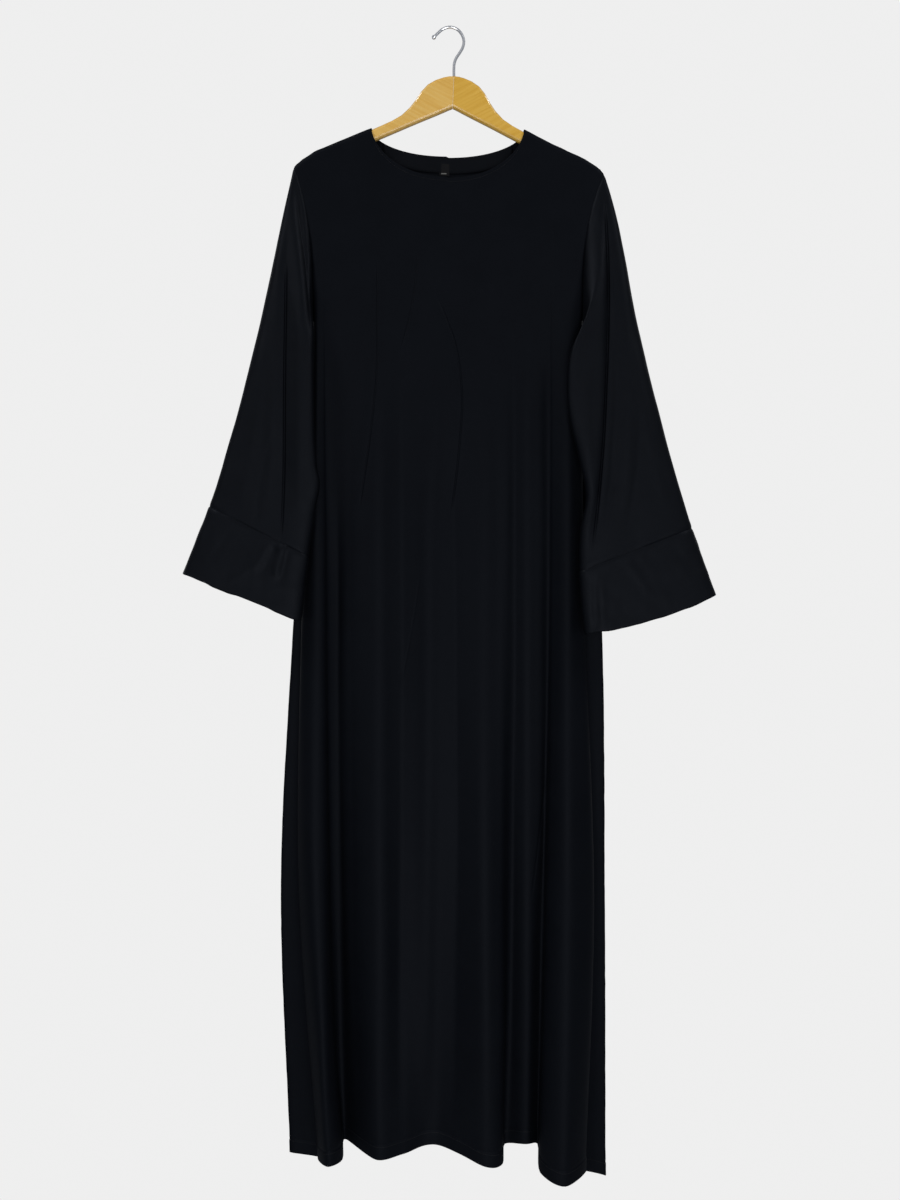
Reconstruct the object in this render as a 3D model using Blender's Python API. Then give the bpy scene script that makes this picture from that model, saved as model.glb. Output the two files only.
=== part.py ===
"""A closed-front abaya hanging on a wooden hanger with a wire hook.

Metres, +Z up. The origin is the top of the hook's inner bend, where the hanger rests on its rail. +X is the viewer's
right and the front of the garment faces -Y. The tables below are in millimetres.

Each panel is a sheet of points: rows run down the cloth and columns run across it. Rows are counted by v, from 0 at
the shoulder and neck to 1 at the hem. Columns are counted by u, one unit for each row of the panel's fold table.
"""

from math import pi, radians

import bmesh
import bpy
import numpy as np

for thing in list(bpy.data.objects):
    bpy.data.objects.remove(thing, do_unlink=True)

MM = 0.001

# Cloth
WALL = 1.2  # thickness of every cloth wall
SEAM_GAP = 0.36  # clear space where two pieces are sewn together
ARMHOLE_GAP = 0.5
ARMPIT_GAP = 1.0  # a little more where four edges meet
FACING_WALL = 1.0

# Heights of the whole garment
TOP_MEAN = -180.0  # mean height of the shoulder and neck edge
HEM_MEAN = -1575.0  # mean height of the hem
NECK_REACH = 0.16  # share of the length in which the neck's scoop levels out in the rows

# Stations down the length, as v, for the fold tables
CHEST, HIP, KNEE, HEM = 0.16, 0.48, 0.735, 1.0
FOLDS_START, FOLDS_FULL = 0.03, 0.48  # the folds grow between these stations
DEPTH_START = 0.2  # above this station a fold keeps its depth at the hip
HEM_WAVE_START = 0.45  # from here down the rows bend towards the hem's line
ARMPIT = 0.163

# Neck, and the shoulder line over the hanger's arms
NECK_CENTRE_X = -4.0
NECK_HALF_WIDTH = 106.5
FRONT_NECK_DROP = 68.0
NECK_ROUND, NECK_FLARE = 2.2, 0.56  # the scoop's curve in its middle and towards its corners
BACK_NECK_DROP = 36.0
SHOULDER_COLUMNS = ("x", "z")
SHOULDER_LINE = (
    (-240.0, -232.0),
    (-222.0, -206.0),
    (-215.0, -197.5),
    (-205.0, -188.0),
    (-188.0, -176.1),
    (-110.5, -141.7),
    (0.0, -96.0),
    (102.5, -143.5),
    (136.0, -162.0),
    (186.0, -187.0),
    (203.0, -198.5),
    (212.0, -208.5),
    (221.0, -222.0),
    (240.0, -250.0),
)
SPREAD_LEFT, SPREAD_RIGHT = 23.0, 31.0  # how much wider the shoulders are than the chest at each side
SPREAD_FULL_AT = 190.0
SPREAD_CURVE, SPREAD_FADE = 4, 3  # how late the spread starts across, and how soon it ends below
ROLL = 8.0  # radius of the cloth where it rolls over the hanger's arm
SWEEP = 16.0  # how far the hanger's arms come forward at their ends
SWEEP_AT, SWEEP_CURVE = 210.0, 1.6

# Front folds from the left side seam to the right one
FOLD_COLUMNS = ("x_chest", "x_hip", "x_knee", "x_hem", "y_hip", "y_knee", "y_hem", "z_hem")
SIDE_SEAM_LEFT = (-193, -223, -240, -228, 10, 20, 30, -1583)
SIDE_SEAM_RIGHT = (185, 212.5, 218, 220, 8, 20, 30, -1616)
FRONT_FOLDS = {
    "side_seam_left": SIDE_SEAM_LEFT,
    "behind_roll_left": (-191, -205, -207, -178, 3, 7, 10, -1588),
    "roll_edge_left": (-189.5, -209, -212, -185, -9, -8, -8, -1580),
    "roll_left": (-184, -190, -189, -168, -20, -33, -42, -1578),
    "roll_side_left": (-178, -177, -170.5, -151, -14, -20, -26, -1575),
    "valley_left": (-173, -171, -165, -149, -6, -4, 3, -1555),
    "crest_left": (-110, -109, -106, -101, -18, -30, -40, -1569),
    "soft_left": (-70, -68, -63.5, -65, -14, -22, -27, -1565),
    "middle": (-20, -21, -22, -23, -16, -18, -13, -1557),
    "crest_right": (45, 46, 48.5, 51, -19, -33, -44, -1578),
    "crest_side_right": (66, 68.5, 68, 70, -16, -25, -34, -1578),
    "valley_right": (80, 80, 79, 75, -11, -8, -2, -1560),
    "small_ridge": (108, 109, 109.5, 107, -14, -12, -11, -1557),
    "gap_right": (137, 136, 130, 122, -5, -3, 1, -1561),
    "roll_side_right": (143, 142.5, 135, 124, -13, -22, -31, -1590),
    "roll_right": (163, 161, 161, 156, -24, -38, -50, -1602),
    "roll_edge_right": (180, 187.5, 199, 187, -12, -16, -24, -1593),
    "behind_roll_right": (183, 185, 195, 183, 0, 2, 4, -1603),
    "side_seam_right": SIDE_SEAM_RIGHT,
}
# Sheet columns between two rows of the table
FRONT_STEPS = (2, 2, 3, 2, 2, 3, 3, 2, 3, 2, 3, 2, 2, 2, 3, 3, 2, 2)
BACK_FOLDS = {
    "side_seam_left": SIDE_SEAM_LEFT,
    "round_left": (-187, -214, -228, -214, 23, 37, 48, -1578),
    "crest_1": (-165, -178, -178, -168, 31, 47, 60, -1568),
    "valley_1": (-126, -127, -124, -120, 20, 24, 27, -1560),
    "crest_2": (-80, -82, -84, -83, 29, 42, 55, -1566),
    "valley_2": (-36, -36, -38, -40, 21, 27, 31, -1561),
    "crest_3": (5, 6, 4, 2, 27, 39, 50, -1564),
    "valley_3": (46, 47, 46, 44, 20, 25, 28, -1562),
    "crest_4": (94, 94, 96, 97, 30, 44, 57, -1570),
    "valley_4": (134, 136, 138, 137, 20, 27, 32, -1576),
    "crest_5": (165, 172, 176, 178, 28, 43, 54, -1594),
    "round_right": (180, 203, 209, 210, 21, 35, 46, -1606),
    "side_seam_right": SIDE_SEAM_RIGHT,
}
BACK_STEPS = (2, 2, 2, 2, 2, 2, 2, 2, 2, 2, 2, 2)
# Extra sheet columns at each neck corner, as shares of the neck's half width
NECK_CORNER_SHARES = (0.91, 0.955, 0.98, 0.993, 0.9985, 1.0, 1.03)
COLUMN_CLEAR = 0.12  # a sheet column nearer than this to an extra one, in units of u, gives way to it
FINE_PLACES = 6001  # places at which a table is read to find a column
ON_SEAM = 0.02  # how exactly a column meets the neck's corner
HEM_SPACING = 10.0  # distance that a row of the table counts for along the hem
SIDE_PULL_START = 0.113  # the panels start to come together here, a little above the armpit
FRONT_SIDE_REACH, BACK_SIDE_REACH = 3.0, 1.6  # how far from the seam they are drawn together, in units of u

# Sheet rows: depths below the top edge down to the armpit, then stations as v
ARMHOLE_DROPS = (0.0, 1.1, 4.0, 8.0, 30.0, 60.0, 90.0, 120.0, 150.0, 178.0, 203.0, 218.0)
LOWER_ROWS = (0.18, 0.205, 0.24, 0.285, 0.335, 0.39, 0.45, 0.51, 0.57, 0.63, 0.69, 0.75, 0.81, 0.87, 0.92, 0.96,
              0.988, 1.0)

# Sleeves: the outer and the inner edge of the flattened tube, from the armhole to the cuff seam
SLEEVE_COLUMNS = ("t", "x_out", "y_out", "z_out", "x_in", "y_in", "z_in", "half_depth")
SLEEVE_LEFT = (
    (0.0, -217, -16, -203, -193, -7, -407, 10),
    (0.06, -222, -17, -224, -195, -20, -419, 11),
    (0.12, -229, -18, -255, -190, -34, -436, 12),
    (0.2, -240, -19, -308, -189, -38, -462, 12),
    (0.35, -260, -20, -400, -188.5, -39, -520, 12),
    (0.5, -280, -21, -482, -187.5, -39, -575, 12),
    (0.62, -296, -22, -545, -184.5, -39, -617, 12),
    (0.72, -309, -22, -590, -180.5, -39, -641, 12),
    (0.85, -321, -23, -632, -187.5, -39, -680, 13),
    (1.0, -333.8, -24, -671, -195.8, -40, -740, 13),
)
SLEEVE_RIGHT = (
    (0.0, 213, -16, -214, 185, -7, -407, 10),
    (0.06, 220, -17, -234, 187, -19, -418, 11),
    (0.12, 229, -18, -268, 182, -33, -432, 12),
    (0.2, 238, -19, -315, 168, -40, -450, 12),
    (0.35, 256, -20, -408, 160, -41, -500, 12),
    (0.5, 275, -21, -492, 164, -41, -555, 12),
    (0.62, 290, -22, -548, 176, -41, -604, 12),
    (0.72, 303, -22, -597, 187, -41, -655, 12),
    (0.85, 318, -23, -650, 178, -41, -706, 13),
    (1.0, 333.5, -24, -701, 177, -41, -761, 13),
)
CUFF_LEFT = (
    (0.0, -333.8, -24, -671, -195.8, -40, -740, 13),
    (0.5, -351.5, -25, -717, -201.5, -41, -786, 14),
    (1.0, -369.8, -26, -764, -205.5, -42, -829, 15),
)
CUFF_RIGHT = (
    (0.0, 333.5, -24, -701, 177, -41, -761, 13),
    (0.5, 349.5, -25, -746, 179.5, -42, -803, 14),
    (1.0, 366.2, -26, -793, 184, -43, -846, 15),
)
RING_ENDS = 8.0  # how square the flattened tube is at its two edges
SLEEVE_RINGS = (0.0, 0.03, 0.06, 0.09, 0.12, 0.16, 0.2, 0.27, 0.35, 0.43, 0.5, 0.56, 0.62, 0.67, 0.72, 0.78, 0.85,
                0.93, 1.0)
CUFF_RINGS = (0.0, 0.12, 0.5, 0.88, 1.0)
ARMHOLE_BLEND = 0.22  # share of the sleeve in which the armhole's shape turns into the flat tube
CUFF_SAG_LEFT = 0.0  # how far the cuff's lower edge hangs below a straight line
CUFF_SAG_RIGHT = 9.0

# Troughs along the front of the sleeves, as a line from top to bottom
# The columns are x_top, z_top, x_low, z_low, width and depth
TROUGHS_LEFT = (
    (-222, -225, -229, -470, 9, 6),
    (-229, -470, -236, -730, 11, 7),
)
TROUGHS_RIGHT = (
    (221, -240, 228, -520, 10, 7),
    (228, -520, 205, -740, 11, 8),
)

# Back neck facing and label
FACING_ROWS = 4
FACING_FROM_X, FACING_TO_X = -99.0, 92.0
LABEL_X, LABEL_WIDTH = -9.0, 14.0
LABEL_DROP, LABEL_HEIGHT = 9.5, 17.0

# Wooden hanger, in its own frame: distance from the middle and height below the top
WOOD_X, WOOD_Z = 4.5, -67.4  # where the top of the wood is in the whole
WOOD_TILT = radians(2.3)  # the right arm hangs a little lower
WOOD_HALF_THICK = 6.4
WOOD_CORNER = 4.6
# The columns are distance, top and bottom
WOOD_ARM = (
    (0.15, 0.0, -45.0),
    (7.0, -0.5, -48.0),
    (14.0, -2.2, -51.5),
    (25.0, -6.4, -56.8),
    (36.0, -13.4, -62.0),
    (44.5, -23.5, -66.0),
    (51.5, -35.2, -69.4),
    (60.0, -47.2, -73.5),
    (71.0, -58.4, -79.0),
    (84.0, -66.9, -85.5),
    (99.0, -74.8, -93.0),
    (120.0, -85.7, -103.5),
    (150.0, -100.6, -118.0),
    (185.0, -117.7, -135.0),
    (194.0, -123.0, -138.0),
    (198.0, -127.0, -137.0),
)

# Wire hook, as the middle line of the wire from its tip to its foot
WIRE_RADIUS = 2.0
HOOK_COLUMNS = ("x", "z")
HOOK_LINE = (
    (-25.6, -14.4),
    (-18.0, -6.6),
    (-10.8, -0.6),
    (0.0, 2.0),
    (9.8, -1.6),
    (16.0, -9.2),
    (18.4, -17.2),
    (17.3, -25.2),
    (12.2, -34.6),
    (7.4, -42.0),
    (5.0, -49.0),
    (4.5, -56.0),
)
HOOK_POINTS = 34
TIP_LENGTH = 5.6
TIP_SWELL = ((0.0, 0.45), (0.16, 1.2), (0.5, 1.62), (0.84, 1.3), (1.0, 1.0))  # share of the tip, times the radius


# Curves and tables


def column(rows, names, name):
    """One named column of a table, from top to bottom."""
    return np.array([row[names.index(name)] for row in rows], float)


def smooth_step(low, high, at):
    share = np.clip((np.asarray(at, float) - low) / (high - low), 0.0, 1.0)
    return share * share * (3.0 - 2.0 * share)


def curve(knots, values, at):
    """A smooth curve through the values at the knots, read at the given places."""
    knots = np.asarray(knots, float)
    values = np.asarray(values, float)
    at = np.asarray(at, float)
    steps = np.diff(knots)
    rises = np.diff(values) / steps
    slopes = np.empty_like(values)
    slopes[0] = rises[0]
    slopes[-1] = rises[-1]
    slopes[1:-1] = (rises[:-1] * steps[1:] + rises[1:] * steps[:-1]) / (steps[1:] + steps[:-1])
    place = np.clip(np.searchsorted(knots, at, side="right") - 1, 0, len(steps) - 1)
    width = steps[place]
    share = (at - knots[place]) / width
    rest = 1.0 - share
    return (
        values[place] * rest * rest * (1.0 + 2.0 * share)
        + values[place + 1] * share * share * (3.0 - 2.0 * share)
        + slopes[place] * width * share * rest * rest
        - slopes[place + 1] * width * share * share * rest
    )


def section(xs, ys, u):
    """Points of one cross-section: a curve through the folds whose knots follow their spacing, so it never loops."""
    spacing = np.sqrt(np.hypot(np.diff(xs), np.diff(ys)) + 1e-9)
    knots = np.concatenate(([0.0], np.cumsum(spacing)))
    place = np.interp(u, np.arange(len(knots)), knots)
    return curve(knots, xs, place), curve(knots, ys, place)


def unit(vectors):
    return vectors / np.maximum(np.linalg.norm(vectors, axis=-1, keepdims=True), 1e-12)


# The body's surface


def sweep(x):
    """How far forward the hanger's arm lies at x."""
    return -SWEEP * (np.abs(x) / SWEEP_AT) ** SWEEP_CURVE


def shoulder_height(x):
    """Height of the cloth over the hanger's arm. Between the neck corners it is the line the cloth would follow."""
    return np.interp(
        x, column(SHOULDER_LINE, SHOULDER_COLUMNS, "x"), column(SHOULDER_LINE, SHOULDER_COLUMNS, "z")
    )


def top_edge(x, neck_drop):
    """Height of a panel's top edge: the shoulder line, and the neck's scoop between its corners."""
    across = np.clip((x - NECK_CENTRE_X) / NECK_HALF_WIDTH, -1.0, 1.0)
    corners = np.where(
        x < NECK_CENTRE_X,
        shoulder_height(NECK_CENTRE_X - NECK_HALF_WIDTH),
        shoulder_height(NECK_CENTRE_X + NECK_HALF_WIDTH),
    )
    scoop = corners - neck_drop * (1.0 - np.abs(across) ** NECK_ROUND) ** NECK_FLARE
    return np.where(np.abs(across) < 1.0, scoop, shoulder_height(x))


def panel_columns(folds, steps, extra):
    """The sheet's columns as u: a few between two folds, and more where the neck's corners are."""
    u = np.concatenate([[0.0]] + [k + np.arange(1, n + 1) / n for k, n in enumerate(steps)])
    fine = np.linspace(0.0, len(steps), FINE_PLACES)
    more = np.interp(extra, top_x(folds, fine), fine)
    far = [place for place in u if np.min(np.abs(more - place)) > COLUMN_CLEAR or place in (0.0, len(steps))]
    return np.sort(np.concatenate([far, more]))


def shoulder_spread(chest):
    """How far out each fold starts at the shoulder, past its place at the chest."""
    return np.where(chest < 0.0, -SPREAD_LEFT, SPREAD_RIGHT) * (np.abs(chest) / SPREAD_FULL_AT) ** SPREAD_CURVE


def top_x(folds, u):
    chest = column(folds.values(), FOLD_COLUMNS, "x_chest")
    return section(chest + shoulder_spread(chest), np.zeros_like(chest), u)[0]


def sheet_rows():
    drops = np.array(ARMHOLE_DROPS) / (TOP_MEAN - HEM_MEAN)
    return np.concatenate([drops, [ARMPIT], LOWER_ROWS])


def panel_sheet(folds, u, neck_drop, side):
    """Middle surface of a panel. side is -1 for the front and 1 for the back."""
    names = FOLD_COLUMNS
    chest = column(folds.values(), names, "x_chest")
    x_rows = [chest, chest] + [column(folds.values(), names, "x_" + at) for at in ("hip", "knee", "hem")]
    y_rows = [column(folds.values(), names, "y_" + at) for at in ("hip", "hip", "knee", "hem")]
    hem_z = section(np.arange(len(folds)) * HEM_SPACING, column(folds.values(), names, "z_hem"), u)[1]
    edge_z = top_edge(top_x(folds, u), neck_drop)
    sheet = []
    for v in sheet_rows():
        xs = np.array([curve((0, CHEST, HIP, KNEE, HEM), fold, v) for fold in np.array(x_rows).T])
        xs = xs + shoulder_spread(chest) * max(0.0, 1.0 - v / CHEST) ** SPREAD_FADE
        deep = max(v, DEPTH_START)
        ys = np.array([curve((DEPTH_START, HIP, KNEE, HEM), fold, deep) for fold in np.array(y_rows).T])
        x, y_fold = section(xs, ys, u)
        z = (
            TOP_MEAN
            + v * (HEM_MEAN - TOP_MEAN)
            + (edge_z - TOP_MEAN) * max(0.0, 1.0 - v / NECK_REACH) ** 2
            + (hem_z - HEM_MEAN) * smooth_step(HEM_WAVE_START, 1.0, v)
        )
        below = np.clip((shoulder_height(x) - z) / ROLL, 0.0, 1.0)
        y_top = sweep(x) + side * ROLL * np.sqrt(1.0 - (1.0 - below) ** 2)
        grown = smooth_step(FOLDS_START, FOLDS_FULL, v)
        sheet.append(np.column_stack([x, y_top * (1.0 - grown) + y_fold * grown, z]))
    return np.array(sheet)


def close_sides(front, back, front_u, back_u, rows):
    """Brings the two panels together at the side seams, from just above the armpit down."""
    for edge in (0, -1):
        middle = (front[:, edge, 1] + back[:, edge, 1]) / 2.0
        pull = smooth_step(SIDE_PULL_START, ARMPIT, rows)
        for sheet, u, reach in ((front, front_u, FRONT_SIDE_REACH), (back, back_u, BACK_SIDE_REACH)):
            away = np.abs(u - u[edge])
            near = np.clip(1.0 - away / reach, 0.0, 1.0) ** 2
            share = pull[:, None] * near[None, :]
            target = middle[:, None]
            sheet[:, :, 1] = sheet[:, :, 1] * (1.0 - share) + target * share


# Normals and walls


def sheet_normals(sheet, before=None, after=None, above=None):
    """Unit normals of a sheet. The ghost points before, after and above stand for the cloth beyond a seam."""
    before = sheet[:, 0] * 2 - sheet[:, 1] if before is None else before
    after = sheet[:, -1] * 2 - sheet[:, -2] if after is None else after
    wide = np.concatenate([before[:, None], sheet, after[:, None]], axis=1)
    across = wide[:, 2:] - wide[:, :-2]
    above = sheet[0] * 2 - sheet[1] if above is None else above
    tall = np.concatenate([above[None], sheet, (sheet[-1] * 2 - sheet[-2])[None]])
    down = tall[2:] - tall[:-2]
    return unit(np.cross(across, down))


def ring_normals(rings):
    """Unit normals of a tube, pointing out of it."""
    across = np.roll(rings, -1, axis=1) - np.roll(rings, 1, axis=1)
    tall = np.concatenate([(rings[0] * 2 - rings[1])[None], rings, (rings[-1] * 2 - rings[-2])[None]])
    return unit(np.cross(across, tall[2:] - tall[:-2]))


def material(name, color, roughness, metallic=0.0):
    made = bpy.data.materials.new(name)
    made.use_nodes = True
    shader = made.node_tree.nodes["Principled BSDF"]
    shader.inputs["Base Color"].default_value = (*color, 1.0)
    shader.inputs["Roughness"].default_value = roughness
    shader.inputs["Metallic"].default_value = metallic
    return made


def add_object(name, points, faces, finish):
    """An object in metres from points in millimetres, with its faces turned outwards."""
    mesh = bpy.data.meshes.new(name)
    mesh.from_pydata([tuple(point) for point in np.asarray(points) * MM], [], faces)
    made = bpy.data.objects.new(name, mesh)
    bpy.context.collection.objects.link(made)
    shape = bmesh.new()
    shape.from_mesh(mesh)
    if shape.calc_volume(signed=True) < 0.0:
        bmesh.ops.reverse_faces(shape, faces=shape.faces)
    shape.to_mesh(mesh)
    shape.free()
    mesh.materials.append(finish)
    mesh.shade_smooth()
    mesh.set_sharp_from_angle(angle=radians(50.0))
    return made


def add_wall(name, sheet, normals, thickness, finish, tube=False):
    """A closed wall around a sheet of points, half its thickness to each side."""
    rows, cols = sheet.shape[:2]
    outer = (sheet + normals * thickness / 2.0).reshape(-1, 3)
    inner = (sheet - normals * thickness / 2.0).reshape(-1, 3)
    count = rows * cols
    faces = []
    for i in range(rows - 1):
        for j in range(cols if tube else cols - 1):
            k = (j + 1) % cols
            corners = [i * cols + j, (i + 1) * cols + j, (i + 1) * cols + k, i * cols + k]
            faces.append(corners)
            faces.append([count + corner for corner in reversed(corners)])
    rims = []
    for j in range(cols if tube else cols - 1):
        k = (j + 1) % cols
        rims.append((j, k))
        rims.append(((rows - 1) * cols + k, (rows - 1) * cols + j))
    if not tube:
        for i in range(rows - 1):
            rims.append(((i + 1) * cols, i * cols))
            rims.append((i * cols + cols - 1, (i + 1) * cols + cols - 1))
    for a, b in rims:
        faces.append([a, b, count + b, count + a])
    return add_object(name, np.concatenate([outer, inner]), faces, finish)


# Sleeves


def edge_lines(table, t):
    """The outer edge, the inner edge and the half depth of the flat tube at t."""
    knots = column(table, SLEEVE_COLUMNS, "t")
    outer, inner = (
        np.array([curve(knots, column(table, SLEEVE_COLUMNS, axis + end), t) for axis in ("x_", "y_", "z_")])
        for end in ("out", "in")
    )
    return outer, inner, float(curve(knots, column(table, SLEEVE_COLUMNS, "half_depth"), t))


def ring_shares():
    """Each ring point's place from the outer edge, 0, to the inner edge, 1, and its side: front -1, back 1."""
    drops = np.concatenate([ARMHOLE_DROPS, [ARMPIT * (TOP_MEAN - HEM_MEAN)]])
    front = drops / drops[-1]
    shares = np.concatenate([front, front[-2:0:-1]])
    sides = np.concatenate([[0.0], -np.ones(len(front) - 2), [0.0], np.ones(len(front) - 2)])
    return shares, sides


def flat_ring(table, t, sag=0.0):
    shares, sides = ring_shares()
    outer, inner, half = edge_lines(table, t)
    depth = half * np.sqrt(np.clip(1.0 - np.abs(2.0 * shares - 1.0) ** RING_ENDS, 0.0, 1.0))
    ring = outer + (inner - outer) * shares[:, None]
    ring[:, 1] += sides * depth
    ring[:, 2] -= sag * np.sin(pi * shares) * t
    return ring


def press_troughs(rings, table):
    """Presses the front of a sleeve back along its troughs."""
    front = ring_shares()[1] < 0
    for x_top, z_top, x_low, z_low, width, depth in table:
        share = np.clip((rings[:, :, 2] - z_top) / (z_low - z_top), 0.0, 1.0)
        inside = (rings[:, :, 2] < z_top + 1e-6) & (rings[:, :, 2] >= z_low)
        off = (rings[:, :, 0] - x_top - (x_low - x_top) * share) / width
        rings[:, :, 1] += depth * np.exp(-off * off) * inside * front[None, :]


def sleeve_rings(table, armhole, troughs):
    """The sleeve's tube, from the armhole's own loop to the flat ring at the cuff."""
    shares = ring_shares()[0][:, None]
    top_out, top_in, _ = edge_lines(table, 0.0)
    rings = []
    for t in SLEEVE_RINGS:
        outer, inner, _ = edge_lines(table, t)
        carried = armhole + (outer - top_out) * (1.0 - shares) + (inner - top_in) * shares
        flat = smooth_step(0.0, ARMHOLE_BLEND, t)
        rings.append(carried * (1.0 - flat) + flat_ring(table, t) * flat)
    rings = np.array(rings)
    moved = rings.copy()
    press_troughs(moved, troughs)
    grown = smooth_step(0.1, 0.3, np.array(SLEEVE_RINGS))[:, None, None]
    return rings * (1.0 - grown) + moved * grown


# Putting the cloth together

black_cloth = material("black_crepe", (0.006, 0.007, 0.010), 0.6)
black_facing = material("black_facing", (0.010, 0.011, 0.014), 0.65)
black_label = material("label_satin", (0.02, 0.02, 0.022), 0.45)
varnished_wood = material("varnished_wood", (0.62, 0.33, 0.08), 0.28)
chrome = material("bright_chrome", (0.75, 0.76, 0.78), 0.12, 1.0)

NEXT_COLUMN = {0: 1, -1: -2}  # the column beside each side edge
ROWS = sheet_rows()
ARMPIT_ROW = len(ARMHOLE_DROPS)
NECK_EXTRA = [NECK_CENTRE_X + side * share * NECK_HALF_WIDTH for side in (-1, 1) for share in NECK_CORNER_SHARES]
front_u = panel_columns(FRONT_FOLDS, FRONT_STEPS, NECK_EXTRA)
back_u = panel_columns(BACK_FOLDS, BACK_STEPS, NECK_EXTRA)
front = panel_sheet(FRONT_FOLDS, front_u, FRONT_NECK_DROP, -1.0)
back = panel_sheet(BACK_FOLDS, back_u, BACK_NECK_DROP, 1.0)
close_sides(front, back, front_u, back_u, ROWS)


def ghost_side(sheet, other, edge):
    """The next points beyond a side edge: the other panel's below the armpit, and straight on above it."""
    inner = NEXT_COLUMN[edge]
    straight = sheet[:, edge] * 2 - sheet[:, inner]
    return np.where((ROWS >= ARMPIT)[:, None], other[:, inner], straight)


def on_shoulder(sheet):
    """Which columns of a sheet start at a shoulder seam, and not at the neck."""
    return np.abs(sheet[0, :, 0] - NECK_CENTRE_X) > NECK_HALF_WIDTH - ON_SEAM


def ghost_top(sheet):
    """The next points over the shoulder seam: the second row mirrored across the seam."""
    mirrored = sheet[1].copy()
    mirrored[:, 1] = 2.0 * sheet[0, :, 1] - sheet[1, :, 1]
    return np.where(on_shoulder(sheet)[:, None], mirrored, sheet[0] * 2 - sheet[1])


front_normals = sheet_normals(
    front, ghost_side(front, back, 0), ghost_side(front, back, -1), ghost_top(front)
)
back_normals = -sheet_normals(back, ghost_side(back, front, 0), ghost_side(back, front, -1), ghost_top(back))
if front_normals[:, :, 1].mean() > 0:
    front_normals = -front_normals
    back_normals = -back_normals


def armhole_loop(edge):
    """The armhole's points from the shoulder down the front, through the armpit and up the back."""
    down_front = front[: ARMPIT_ROW + 1, edge]
    up_back = back[ARMPIT_ROW - 1 : 0 : -1, edge]
    return np.concatenate([down_front, up_back])


sleeves = {
    "left": sleeve_rings(SLEEVE_LEFT, armhole_loop(0), TROUGHS_LEFT),
    "right": sleeve_rings(SLEEVE_RIGHT, armhole_loop(-1), TROUGHS_RIGHT),
}
cuffs = {
    "left": np.array([flat_ring(CUFF_LEFT, t, CUFF_SAG_LEFT) for t in CUFF_RINGS]),
    "right": np.array([flat_ring(CUFF_RIGHT, t, CUFF_SAG_RIGHT) for t in CUFF_RINGS]),
}
for side_name in cuffs:
    cuffs[side_name][0] = sleeves[side_name][-1]


def outward(rings, normals):
    """Turns a tube's normals so that they point away from its middle line."""
    middle = rings.mean(axis=1, keepdims=True)
    return normals if np.sum((rings - middle) * normals) > 0 else -normals


def part_seam(points_a, points_b, along, normals, gap):
    """Moves two rows of edge points apart by the seam gap, square to the seam and to the normals."""
    across = unit(np.cross(normals, along))
    towards_b = np.sign(np.sum(across * (points_b - points_a), axis=-1, keepdims=True))
    return across * towards_b * gap / 2.0


def join_side_seam(edge):
    """Shares the normals of front and back below the armpit and opens the seam gap."""
    low = slice(ARMPIT_ROW, None)
    inner = NEXT_COLUMN[edge]
    shared = unit(front_normals[low, edge] + back_normals[low, edge])
    front_normals[low, edge] = shared
    back_normals[low, edge] = shared
    seam = front[low, edge]
    along = np.gradient(seam, axis=0)
    shift = part_seam(front[low, inner], back[low, inner], along, shared, SEAM_GAP)
    front[low, edge] = seam - shift
    back[low, edge] = seam + shift


def join_armhole(edge, rings, normals):
    """Shares the normals of the body and the sleeve round the armhole and opens the seam gap."""
    count = ARMPIT_ROW
    loop = rings[0].copy()
    inner = NEXT_COLUMN[edge]
    body = np.concatenate([front_normals[: count + 1, edge], back_normals[count - 1 : 0 : -1, edge]])
    shared = unit(body + normals[0])
    inside = np.concatenate([front[: count + 1, inner], back[count - 1 : 0 : -1, inner]])
    along = np.roll(loop, -1, axis=0) - np.roll(loop, 1, axis=0)
    shift = part_seam(inside, rings[1], along, shared, ARMHOLE_GAP)
    shift[0] = unit(rings[1, 0] - rings[0, 0]) * ARMHOLE_GAP / 2.0
    shift[[count - 1, count + 1]] *= ARMPIT_GAP / ARMHOLE_GAP
    shift[count] = unit(rings[1, count] - rings[0, count]) * ARMPIT_GAP
    rings[0] = loop + shift
    normals[0] = shared
    front_normals[: count + 1, edge] = shared[: count + 1]
    back_normals[:1, edge] = shared[:1]
    back_normals[1:count, edge] = shared[: count : -1]
    front[:count, edge] -= shift[:count]
    back[:1, edge] -= shift[:1]
    back[1:count, edge] -= shift[: count : -1]


tube_normals = {name: outward(rings, ring_normals(rings)) for name, rings in sleeves.items()}
cuff_normals = {name: outward(rings, ring_normals(rings)) for name, rings in cuffs.items()}
for edge, side_name in ((0, "left"), (-1, "right")):
    join_side_seam(edge)
    join_armhole(edge, sleeves[side_name], tube_normals[side_name])
    shared = unit(tube_normals[side_name][-1] + cuff_normals[side_name][0])
    tube_normals[side_name][-1] = shared
    cuff_normals[side_name][0] = shared
    along_sleeve = unit(cuffs[side_name][1] - sleeves[side_name][-2])
    sleeves[side_name][-1] -= along_sleeve * SEAM_GAP / 2.0
    cuffs[side_name][0] += along_sleeve * SEAM_GAP / 2.0

for sheet, side in ((front, -1.0), (back, 1.0)):
    sheet[0, on_shoulder(sheet), 1] += side * SEAM_GAP / 2.0

facing_columns = np.where((back[0, :, 0] > FACING_FROM_X) & (back[0, :, 0] < FACING_TO_X))[0]
facing_inset = WALL / 2.0 + SEAM_GAP + FACING_WALL / 2.0
facing_normals = back_normals[:FACING_ROWS, facing_columns]
facing = back[:FACING_ROWS, facing_columns] - facing_normals * facing_inset


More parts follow.
